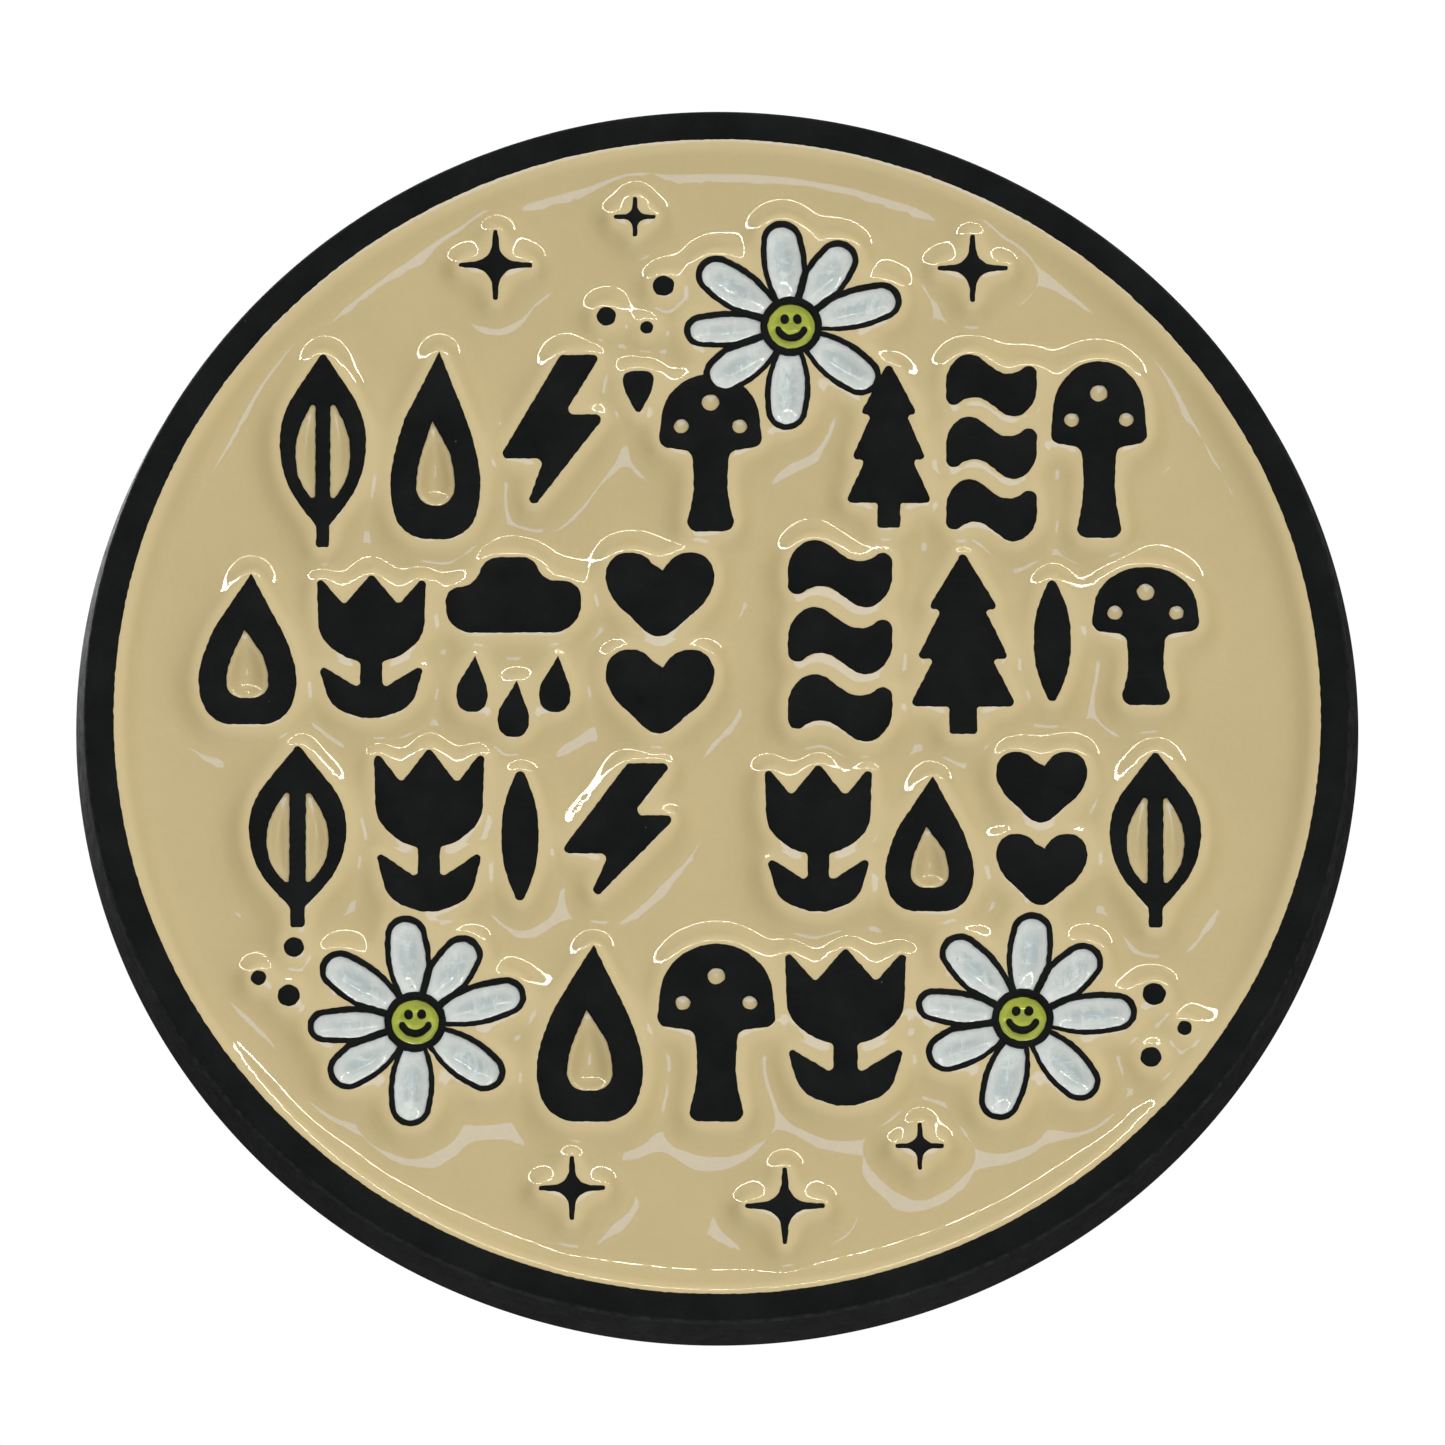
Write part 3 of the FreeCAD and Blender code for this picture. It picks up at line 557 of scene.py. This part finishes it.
class EnamelPinSettings(bpy.types.PropertyGroup):
    shoulder: bpy.props.FloatProperty(
        name="Shoulder", description="Rounding of the raised metal's edges, in millimetres",
        default=0.05, min=0.01)
    lip: bpy.props.FloatProperty(
        name="Lip", description="Bare metal between the shoulder and the enamel at a wall, in millimetres",
        default=-0.02, min=-0.04)
    wetting: bpy.props.FloatProperty(
        name="Wetting", description="Distance from a wall at which the enamel's climb is mostly gone, in mm",
        default=0.59, min=0.05)
    climb: bpy.props.FloatProperty(
        name="Climb", description="How far the enamel rises to its walls, in millimetres",
        default=0.4, min=0.0)
    edge_radius: bpy.props.FloatProperty(
        name="Edge radius", description="Rounding of the plate's front edge, in millimetres",
        default=0.14, min=0.05)
    cream_colour: bpy.props.FloatVectorProperty(
        name="Cream", description="Background enamel", subtype="COLOR",
        default=(0.55, 0.44, 0.22), min=0, max=1)
    petal_colour: bpy.props.FloatVectorProperty(
        name="Petals", description="Petal enamel", subtype="COLOR",
        default=(0.44, 0.515, 0.515), min=0, max=1)
    centre_colour: bpy.props.FloatVectorProperty(
        name="Centres", description="Daisy centre enamel", subtype="COLOR",
        default=(0.25, 0.285, 0.028), min=0, max=1)
    metal_colour: bpy.props.FloatVectorProperty(
        name="Metal", description="Dyed metal", subtype="COLOR",
        default=(0.005, 0.0055, 0.0052), min=0, max=1)
    camera_elevation: bpy.props.FloatProperty(
        name="Camera elevation", description="Above the horizon", subtype="ANGLE",
        default=math.radians(-17.0))
    camera_distance: bpy.props.FloatProperty(
        name="Camera distance", description="From the plate", unit="LENGTH", default=1.6, min=0.1)


# ---- pieces ------------------------------------------------------------------------------------------------

def wall_outlines(node):
    """The walls round an enamel node's pools: its front outlines as smooth, slightly uneven curves."""
    if node not in OUTLINES:
        spacing = FIELD_SPACING if node == "cream_enamel_field" else SMALL_SPACING
        inset = DAISY_INSET if "daisy" in node else 0.0
        curves = [resampled(o, spacing) for o in front_outlines(node)]
        OUTLINES[node] = [uneven(c + inset * leftward(c)) for c in curves]
    return OUTLINES[node]


def shoulder_reach(wall, border, shoulder):
    """How far a wall's shoulder reaches across the raised metal at each of its points: the shoulder's size,
    halved up to three times where its far side would come closer to another point of the border than that."""
    around = 0.3
    across = -leftward(wall)
    reach = np.full(len(wall), shoulder)
    near = border[((border > wall.min(0) - around) & (border < wall.max(0) + around)).all(1)]
    for some in np.array_split(np.arange(len(wall)), max(1, len(wall) // 60)):
        low, high = wall[some].min(0) - around, wall[some].max(0) + around
        close = near[((near > low) & (near < high)).all(1)]
        for _ in range(3):
            tip = wall[some] + across[some] * reach[some, None]
            gap = np.sqrt(((tip[:, None, :] - close[None, :, :]) ** 2).sum(2).min(1))
            reach[some] = np.where(gap < 0.88 * reach[some], reach[some] / 2, reach[some])
    return reach


class PlateBuild(bpy.types.Operator):
    """Struck plate: raised metal with rounded shoulders, pool walls and floors, rim, side wall and back."""
    bl_idname = "enamel_pin.plate"
    bl_label = "Struck plate"

    def execute(self, context):
        look = context.scene.enamel_pin
        walls = [w for node in ENAMEL_NODES for w in wall_outlines(node)]
        border = np.concatenate(walls)
        vertices, faces, tops = [], [], []
        count = 0
        for wall in walls:
            across = -leftward(wall)
            reach = shoulder_reach(wall, border, look.shoulder)
            rows = [in_space(wall, POOL_FLOOR), in_space(wall, FRONT + look.shoulder + 0.04)]
            for t in np.radians(np.linspace(0, 90, 5)):
                rounded = wall + across * (reach * (1 - math.cos(t)))[:, None]
                rows.append(in_space(rounded, FRONT + look.shoulder * (1 - math.sin(t))))
            vertices += rows
            faces.append(count + ring_quads(len(rows), len(wall)))
            tops.append(wall + across * reach[:, None])
            count += len(rows) * len(wall)
        r = look.edge_radius
        flat_edge = FRONT_RADIUS - r
        turn = np.arange(RIM_SEGMENTS) * 2 * math.pi / RIM_SEGMENTS
        outer = flat_edge * np.stack([np.cos(turn), np.sin(turn)], 1)
        cap, triangles = triangulated([t[::-1] for t in tops] + [outer], np.empty((0, 2)))
        vertices.append(in_space(cap, FRONT))
        faces.append(count + triangles)
        count += len(cap)
        for node in ENAMEL_NODES:
            floor, triangles = triangulated(wall_outlines(node), np.empty((0, 2)))
            vertices.append(in_space(floor, POOL_FLOOR))
            faces.append(count + triangles)
            count += len(floor)
        inner = PLATE_RADIUS - BORDER_WIDTH
        profile = np.concatenate([
            arc((flat_edge, FRONT + r), r, -90, 0, 12),
            arc((PLATE_RADIUS - BACK_EDGE, -BACK_EDGE), BACK_EDGE, 0, 90, 6),
            [(inner + 0.03, 0.0), (inner, -0.02), (inner - 0.05, -BORDER_HEIGHT)],
            [(radius, -BORDER_HEIGHT) for radius in (12.0, 6.0, 0.0)]])
        body, quads = turned(profile, RIM_SEGMENTS)
        vertices.append(body)
        faces.append(count + quads)
        faces = [f for group in faces for f in group.tolist()]
        piece = new_piece("struck_plate_metal", np.concatenate(vertices), faces, dyed_metal(), "pin",
                          "struck_plate", WELD)
        keep_flats(piece)
        return {"FINISHED"}


def keep_flats(piece, angle=35.0):
    """Keeps creases sharper than the angle, and flat faces flat beside rounded edges."""
    piece.data.set_sharp_from_angle(angle=math.radians(angle))
    weighted = piece.modifiers.new("flat faces stay flat", "WEIGHTED_NORMAL")
    weighted.keep_sharp = True


def pool_piece(name, node, material, cell, bands, wetting=1.0, rise=1.0):
    """Closed piece of enamel: a top that climbs its walls, a skirt down them and a flat underside. With w the
    settled field, -ln(w) times its reach is a smooth distance d from the walls, and the height is the climb
    times e to the minus (d over the wetting) squared, so that the enamel leaves each wall level, dips and
    flattens out. A few faint sine swells are added, which fade at the walls. The top's points lie in bands of
    (depth from, depth to, spacing), where a point's depth is read from square cells of the size given.
    wetting and rise are shares of the settings' wetting and climb."""
    look = bpy.context.scene.enamel_pin
    walls = wall_outlines(node)
    raster = Raster(walls, cell)
    depth = raster.depth(bands[-1][0] + 0.1)
    points = []
    for low, high, spacing in bands:
        here = lattice(spacing, raster.low, raster.high)
        d = raster.read(depth, here)
        points.append(here[(d >= low) & (d < high)])
    top, triangles = triangulated(walls, np.concatenate(points))
    pinned = np.arange(len(top)) < sum(len(w) for w in walls)
    field = settled(top, triangles, pinned, SETTLING * wetting * look.wetting)
    away = -np.log(np.clip(field, 1e-9, 1.0)) * SETTLING
    share = np.exp(-away**2)
    level = FRONT + look.shoulder + look.lip + look.climb
    rng = np.random.default_rng(7)
    swell = np.zeros(len(top))
    for wavelength in (0.9, 1.2, 1.5, 1.9, 2.6, 3.4, 4.5, 6.0):
        way, phase = rng.uniform(0, 2 * math.pi, 2)
        swell += wavelength * np.sin((top @ [math.cos(way), math.sin(way)]) * 2 * math.pi / wavelength + phase)
    height = rise * look.climb * share + SWELL_SLOPE * swell * (1 - share)
    under, under_triangles = triangulated(walls, np.empty((0, 2)))
    vertices = np.concatenate([in_space(top, level - height), in_space(under, POOL_FLOOR - 0.001)])
    faces = triangles.tolist() + (len(top) + under_triangles[:, ::-1]).tolist()
    first = 0
    for wall in walls:
        near = np.arange(first, first + len(wall))
        faces += strip(len(top) + near, near).tolist()
        first += len(wall)
    piece = new_piece(name, vertices, faces, material, "pin", node)
    piece.data.set_sharp_from_angle(angle=math.radians(60))


class CreamBuild(bpy.types.Operator):
    """Cream enamel: the background pool and the small pools inside the raised shapes."""
    bl_idname = "enamel_pin.cream"
    bl_label = "Cream enamel"

    def execute(self, context):
        cream = tuple(context.scene.enamel_pin.cream_colour)
        # the last colour is painted light: a lighter cream halo where the enamel climbs the walls
        material = enamel("cream_enamel", cream, tuple(0.94 * c for c in cream),
                          tuple(c * k for c, k in zip(cream, (1.08, 1.09, 1.14)))).material
        pool_piece("cream_enamel_background", "cream_enamel_field", material, cell=0.03,
                   bands=((0.07, 0.25, 0.08), (0.25, 1.1, 0.13), (1.1, 9.0, 0.3)))
        pool_piece("cream_enamel_inside_shapes", "cream_enamel_islands", material, cell=0.02,
                   bands=((0.045, 9.0, 0.06),), wetting=0.5, rise=0.8)
        return {"FINISHED"}


class DaisyBuild(bpy.types.Operator):
    """Daisies: a pool of white enamel in each petal and of yellow-green round each smile."""
    bl_idname = "enamel_pin.daisies"
    bl_label = "Daisies"

    def execute(self, context):
        white = petal_enamel()
        yellow = tuple(context.scene.enamel_pin.centre_colour)
        # the last colour is a painted highlight: a much lighter yellow where the enamel climbs the walls
        green = enamel("centre_enamel", yellow, tuple(0.7 * c for c in yellow), tuple(1.9 * c for c in yellow),
                       mottle_size=0.3, climb=(0.36, 0.24)).material
        for node in ENAMEL_NODES:
            if "petal" in node:
                pool_piece(node + "_white", node, white, cell=0.015,
                           bands=((0.035, 9.0, 0.055),), wetting=0.5, rise=0.75)
            elif node.endswith("daisy_centre"):
                pool_piece(node + "_green", node, green, cell=0.01,
                           bands=((0.023, 9.0, 0.035),), wetting=0.3, rise=0.6)
        return {"FINISHED"}


class PostBuild(bpy.types.Operator):
    """Posts: turned nails with a pad and a notch, each in its ring of solder."""
    bl_idname = "enamel_pin.posts"
    bl_label = "Posts"

    def execute(self, context):
        steel = plated_metal("post_steel", (0.42, 0.42, 0.42), 0.28)
        solder = plated_metal("solder", (0.3, 0.3, 0.31), 0.4, 0.01)
        for side in ("left", "right"):
            low, high = (np.array(corner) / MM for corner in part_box(f"{side}_post"))
            centre = ((low[0] + high[0]) / 2, (low[2] + high[2]) / 2)
            foot, tip, pad = low[1], high[1], (high[0] - low[0]) / 2
            profile = np.concatenate([
                [(0, foot), (pad, foot)], arc((pad - 0.1, foot + 0.35), 0.1, 0, 90, 3),
                arc((POST_RADIUS + 0.12, foot + 0.57), 0.12, 270, 180, 4),
                [(POST_RADIUS, NOTCH_Y - 0.35), (NOTCH_RADIUS, NOTCH_Y - 0.25)],
                [(NOTCH_RADIUS, NOTCH_Y + 0.25), (POST_RADIUS, NOTCH_Y + 0.35)],
                [(POST_RADIUS, tip - POINT_LENGTH), (POST_RADIUS - 0.03, tip - POINT_LENGTH + 0.1)],
                [(0.14, tip - 0.06), (0.08, tip), (0, tip)]])
            vertices, quads = turned(profile, 72, centre)
            piece = new_piece(f"{side}_post_nail", vertices, quads, steel, "pin", f"{side}_post",
                              WELD)
            keep_flats(piece, 30)
            self.solder_ring(side, solder, centre, foot, pad)
        return {"FINISHED"}

    def solder_ring(self, side, solder, centre, foot, pad):
        """Solder round a post's pad: a ring whose section is a hollow Bezier curve of the second degree, from
        the plate up to the pad, and whose outer part sinks and rises three times round as a sine."""
        low, high = (np.array(corner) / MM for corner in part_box(f"{side}_solder"))
        outer, top = (high[0] - low[0]) / 2, high[1]
        t = np.linspace(0, 1, 9)[:, None]
        ends = (1 - t) ** 2 * np.array([outer, foot]) + t**2 * np.array([pad, top])
        fillet = ends + 2 * t * (1 - t) * np.array([pad + 0.08, foot + 0.05])
        vertices, quads = turned(np.concatenate([[(pad, foot)], fillet, [(pad, foot)]]), 96, centre)
        around = np.arctan2(vertices[:, 2] - centre[1], vertices[:, 0] - centre[0])
        out = np.hypot(vertices[:, 2] - centre[1], vertices[:, 0] - centre[0])
        sag = 1 - 0.25 * (0.5 + 0.5 * np.sin(3 * around + 1)) * np.clip((out - pad) / (outer - pad), 0, 1)
        vertices[:, 1] = foot + (vertices[:, 1] - foot) * sag
        new_piece(f"{side}_solder_ring", vertices, quads, solder, "pin", f"{side}_solder", WELD)


class ClutchBuild(bpy.types.Operator):
    """Butterfly clutches: dish, bridge, spring and wings, with softened edges."""
    bl_idname = "enamel_pin.clutches"
    bl_label = "Butterfly clutches"

    def execute(self, context):
        nickel = plated_metal("clutch_plating", (0.62, 0.6, 0.56), 0.16)
        wire = plated_metal("spring_wire", (0.45, 0.45, 0.45), 0.25)
        for side in ("left", "right"):
            body = f"{side}_clutch"
            self.dish(side, nickel, body)
            for part, name, owner in (("clutch_bridge", "clutch_strap", body),
                                      ("clutch_wing_outer", "clutch_lever_outer", f"{side}_wing_outer"),
                                      ("clutch_wing_inner", "clutch_lever_inner", f"{side}_wing_inner")):
                softened(f"{side}_{part}", f"{side}_{name}", nickel, owner)
            self.spring(side, wire, body)
        return {"FINISHED"}

    def dish(self, side, nickel, body):
        """A turned sheet: a funnel up round the hole, eased at both ends by the cubic t * t * (3 - 2 * t),
        then a flat bottom and a rim rolled inwards over half a turn, with the sheet's thickness all the
        way."""
        low, high = (np.array(corner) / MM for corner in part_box(f"{side}_clutch_dish"))
        centre = ((low[0] + high[0]) / 2, (low[2] + high[2]) / 2)
        roll = (high[1] - low[1]) / 2
        rim = ((high[0] - low[0]) / 2 - roll, roll)
        t = np.linspace(0, 1, 13)[:, None]
        ease = t * t * (3 - 2 * t)
        funnel = np.concatenate([HOLE_RADIUS + FUNNEL_WIDTH * t, FUNNEL_HEIGHT * (1 - ease)], 1)
        profile = np.concatenate([
            funnel, [(3.0, 0.0)], arc(rim, roll, -90, 90, 16),
            arc((rim[0] - 0.4, 2 * roll - SHEET / 2), SHEET / 2, 90, 270, 6),
            arc(rim, roll - SHEET, 90, -90, 12), [(3.0, SHEET)], funnel[::-1] + [0, SHEET], funnel[:1]])
        profile[:, 1] += low[1]
        vertices, quads = turned(profile, 128, centre)
        piece = new_piece(f"{side}_clutch_base", vertices, quads, nickel, body, f"{side}_clutch_dish",
                          WELD)
        keep_flats(piece, 40)

    def spring(self, side, wire, body):
        """A U of wire: a circle carried along two straight legs joined by half a turn, with rounded ends."""
        low, high = (np.array(corner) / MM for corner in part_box(f"{side}_clutch_spring"))
        radius = (high[1] - low[1]) / 2
        x, y = (low[0] + high[0]) / 2, (low[1] + high[1]) / 2
        leg = (high[0] - low[0]) / 2 - radius
        bend_z = high[2] - radius - leg
        t = np.linspace(0, 1, 14)
        bend = np.linspace(0, math.pi, 25)
        path = np.concatenate([
            np.stack([0 * t - leg, low[2] + t * (bend_z - low[2])], 1)[:-1],
            np.stack([-leg * np.cos(bend), bend_z + leg * np.sin(bend)], 1),
            np.stack([0 * t + leg, bend_z - t * (bend_z - low[2])], 1)[1:]])
        along = np.gradient(path, axis=0)
        along /= np.linalg.norm(along, axis=1, keepdims=True)
        out = np.stack([along[:, 1], -along[:, 0]], 1)
        size = np.full(len(path), radius)
        path = np.concatenate([path[:1], path[:1] + along[:1] * 0.3 * radius, path[1:-1],
                               path[-1:] - along[-1:] * 0.3 * radius, path[-1:]])
        out = np.concatenate([out[:1], out, out[-1:]])
        size = np.concatenate([[0.75 * radius], size, [0.75 * radius]])
        turn = np.arange(WIRE_SIDES) * 2 * math.pi / WIRE_SIDES
        across = path[:, None, :] + out[:, None, :] * (size[:, None] * np.cos(turn))[:, :, None]
        ring = np.stack([x + across[..., 0], y + size[:, None] * np.sin(turn), across[..., 1]], 2)
        end = np.arange(WIRE_SIDES)
        caps = [end[::-1].tolist(), (end + WIRE_SIDES * (len(path) - 1)).tolist()]
        faces = ring_quads(len(path), WIRE_SIDES).tolist() + caps
        piece = new_piece(f"{side}_clutch_wire", ring.reshape(-1, 3), faces, wire, body,
                          f"{side}_clutch_spring", WIRE_WELD)
        piece.data.set_sharp_from_angle(angle=math.radians(50))


def softened(node, name, material, body):
    """A copy of a CAD node, welded, with its stamped edges rounded by a bevel."""
    mesh = NODES[node].data.copy()
    work = bmesh.new()
    work.from_mesh(mesh)
    bmesh.ops.remove_doubles(work, verts=work.verts, dist=1e-7)
    bmesh.ops.dissolve_limit(work, angle_limit=math.radians(0.5), verts=work.verts, edges=work.edges)
    work.to_mesh(mesh)
    work.free()
    mesh.name = name
    mesh.materials.clear()
    mesh.materials.append(material)
    mesh.shade_smooth()
    piece = bpy.data.objects.new(name, mesh)
    bpy.context.scene.collection.objects.link(piece)
    bevel = piece.modifiers.new("stamped edges", "BEVEL")
    bevel.width = 0.06 * MM
    bevel.segments = 3
    bevel.limit_method = "ANGLE"
    bevel.angle_limit = math.radians(40)
    bevel.use_clamp_overlap = True
    weighted = piece.modifiers.new("flat faces stay flat", "WEIGHTED_NORMAL")
    weighted.keep_sharp = False
    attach(piece, body)
    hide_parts(node)


# ---- stage -------------------------------------------------------------------------------------------------

def glowing(name, colour, strength):
    """A material that only gives light."""
    material = bpy.data.materials.new(name)
    material.use_nodes = True
    tree = material.node_tree
    tree.nodes.clear()
    emission = tree.nodes.new("ShaderNodeEmission")
    emission.inputs["Color"].default_value = (*colour, 1.0)
    emission.inputs["Strength"].default_value = strength
    tree.links.new(emission.outputs[0], tree.nodes.new("ShaderNodeOutputMaterial").inputs[0])
    return material


def stage_mesh(name, vertices, faces, material):
    """A mesh of the stage, with vertices in metres."""
    mesh = bpy.data.meshes.new(name)
    mesh.from_pydata([tuple(v) for v in vertices], [], [tuple(f) for f in faces])
    mesh.materials.append(material)
    thing = bpy.data.objects.new(name, mesh)
    bpy.context.scene.collection.objects.link(thing)
    return thing


def aimed_at(centre, elevation, azimuth, distance):
    """Position at a distance from a centre, at an elevation and at an azimuth to the right of straight in
    front, both in degrees."""
    e, a = math.radians(elevation), math.radians(azimuth)
    way = Vector((math.sin(a) * math.cos(e), -math.cos(a) * math.cos(e), math.sin(e)))
    return Vector(centre) + distance * way


def area_light(name, place, size, power, glossy=False):
    """A white lamp of some size that points at the pin. Reflections show it only if it is glossy."""
    light = bpy.data.lights.new(name, "AREA")
    light.shape = "RECTANGLE"
    light.size, light.size_y = size
    light.energy = power
    lamp = bpy.data.objects.new(name, light)
    lamp.location = place
    lamp.rotation_euler = (-Vector(place)).to_track_quat("-Z", "Y").to_euler()
    lamp.visible_glossy = glossy
    bpy.context.scene.collection.objects.link(lamp)


class StageBuild(bpy.types.Operator):
    """Stage: pale floor, soft lamps, a row of small lamps and the camera."""
    bl_idname = "enamel_pin.stage"
    bl_label = "Stage"

    def execute(self, context):
        scene = context.scene
        look = scene.enamel_pin
        self.floor()
        self.lamps()
        self.surroundings()
        camera = bpy.data.cameras.new("camera")
        holder = bpy.data.objects.new("camera", camera)
        scene.collection.objects.link(holder)
        scene.camera = holder
        target = Vector((VIEW_CENTRE[0], FRONT, VIEW_CENTRE[1])) * MM
        place = aimed_at(target, math.degrees(look.camera_elevation), 0.0, look.camera_distance)
        holder.location = place
        holder.rotation_euler = (target - place).to_track_quat("-Z", "Y").to_euler()
        camera.sensor_width = SENSOR_WIDTH
        camera.lens = SENSOR_WIDTH * look.camera_distance / (VIEW_WIDTH * MM)
        camera.clip_start, camera.clip_end = 0.01, 20.0
        scene.view_settings.view_transform = "Standard"
        return {"FINISHED"}

    def floor(self):
        """A wide pale floor well below the pin, which a camera under the pin doesn't see."""
        f = Finish("pale_paper")
        shade = f.ramp(f.noise(60.0, 2.0), 0.3, 0.7)
        f.set(Base_Color=f.mix(shade, (0.86, 0.86, 0.86), (0.9, 0.9, 0.9)), Roughness=0.9)
        ways = ((-1, -1), (1, -1), (1, 1), (-1, 1))
        corners = [(x * FLOOR_REACH, y * FLOOR_REACH, FLOOR_HEIGHT) for x, y in ways]
        stage_mesh("pale_floor", corners, [(0, 1, 2, 3)], f.material)

    def surroundings(self):
        """White where the camera sees past the floor, and a dim grey for everything else."""
        world = bpy.data.worlds.new("studio")
        bpy.context.scene.world = world
        world.use_nodes = True
        tree = world.node_tree
        background = tree.nodes["Background"]
        background.inputs["Color"].default_value = (1, 1, 1, 1)
        seen = tree.nodes.new("ShaderNodeMapRange")
        seen.inputs["To Min"].default_value, seen.inputs["To Max"].default_value = 0.16, 1.02
        tree.links.new(tree.nodes.new("ShaderNodeLightPath").outputs["Is Camera Ray"], seen.inputs["Value"])
        tree.links.new(seen.outputs["Result"], background.inputs["Strength"])

    def lamps(self):
        """Soft lamps that light the pin, and glowing cards that only show in it as reflections: a row of
        small dashes, a window low in front and a ceiling."""
        area_light("soft_key", (-0.5, -0.9, 1.0), (0.9, 0.9), 8.7)
        area_light("soft_fill", (0.7, -0.9, 0.4), (0.8, 0.8), 5.6)
        area_light("low_fill", (0.0, -0.9, -0.1), (0.8, 0.3), 2.7)
        area_light("back_lamp", (-0.5, 1.0, 0.8), (0.9, 0.7), 9.0, glossy=True)
        area_light("overhead", (0.3, 0.1, 1.5), (1.2, 0.8), 12.0)
        area_light("under_fill", (0.0, 0.0, -0.7), (1.4, 0.9), 1.8)
        first, pitch, dash, count = -76, 2.4, 1.4, 54
        starts = [first + pitch * k for k in range(count)]
        warm = glowing("lamp_dots", (1.0, 0.95, 0.8), 55.0)
        self.card_grid("lamp_row", warm, 44.0, 45.6, [(start, start + dash) for start in starts])
        window = glowing("window_glow", (0.45, 0.62, 1.0), 4.2)
        self.card_grid("front_window", window, 1.0, 13.0, [(-7.0, 8.0)])
        ceiling = glowing("ceiling_glow", (1.0, 0.96, 0.8), 0.5)
        self.card_grid("ceiling_glow", ceiling, 49.0, 75.0, [(-70.0, 50.0)])

    def card_grid(self, name, material, low, high, spans):
        """Cards round the pin, between two elevations and over spans of azimuth, seen only in reflections. A
        wide span is split into cards of about ten degrees."""
        vertices, faces = [], []
        for left, right in spans:
            steps = max(1, int((right - left) / 10))
            for k in range(steps):
                a, b = left + (right - left) * k / steps, left + (right - left) * (k + 1) / steps
                first = len(vertices)
                corners = ((a, low), (b, low), (b, high), (a, high))
                vertices += [aimed_at((0, 0, 0), e, t, CARD_DISTANCE) for t, e in corners]
                faces.append(tuple(range(first, first + 4)))
        cards = stage_mesh(name, vertices, faces, material)
        cards.visible_camera = False
        cards.visible_diffuse = False


class EnamelPinPanel(bpy.types.Panel):
    """Settings and build steps in the sidebar."""
    bl_label = "Enamel Pin"
    bl_idname = "VIEW3D_PT_enamel_pin"
    bl_space_type = "VIEW_3D"
    bl_region_type = "UI"
    bl_category = "Enamel Pin"

    def draw(self, context):
        layout = self.layout
        for name in EnamelPinSettings.__annotations__:
            layout.prop(context.scene.enamel_pin, name)
        for step in STEPS:
            layout.operator(step.bl_idname)


STEPS = (PlateBuild, CreamBuild, DaisyBuild, PostBuild, ClutchBuild, StageBuild)
CLASSES = (EnamelPinSettings, *STEPS, EnamelPinPanel)


def register():
    for cls in CLASSES:
        bpy.utils.register_class(cls)
    bpy.types.Scene.enamel_pin = bpy.props.PointerProperty(type=EnamelPinSettings)


def unregister():
    del bpy.types.Scene.enamel_pin
    for cls in reversed(CLASSES):
        bpy.utils.unregister_class(cls)


def main():
    """Builds the pin and its stage."""
    register()
    bpy.ops.enamel_pin.plate()
    bpy.ops.enamel_pin.cream()
    bpy.ops.enamel_pin.daisies()
    bpy.ops.enamel_pin.posts()
    bpy.ops.enamel_pin.clutches()
    bpy.ops.enamel_pin.stage()


if __name__ == "__main__":
    main()
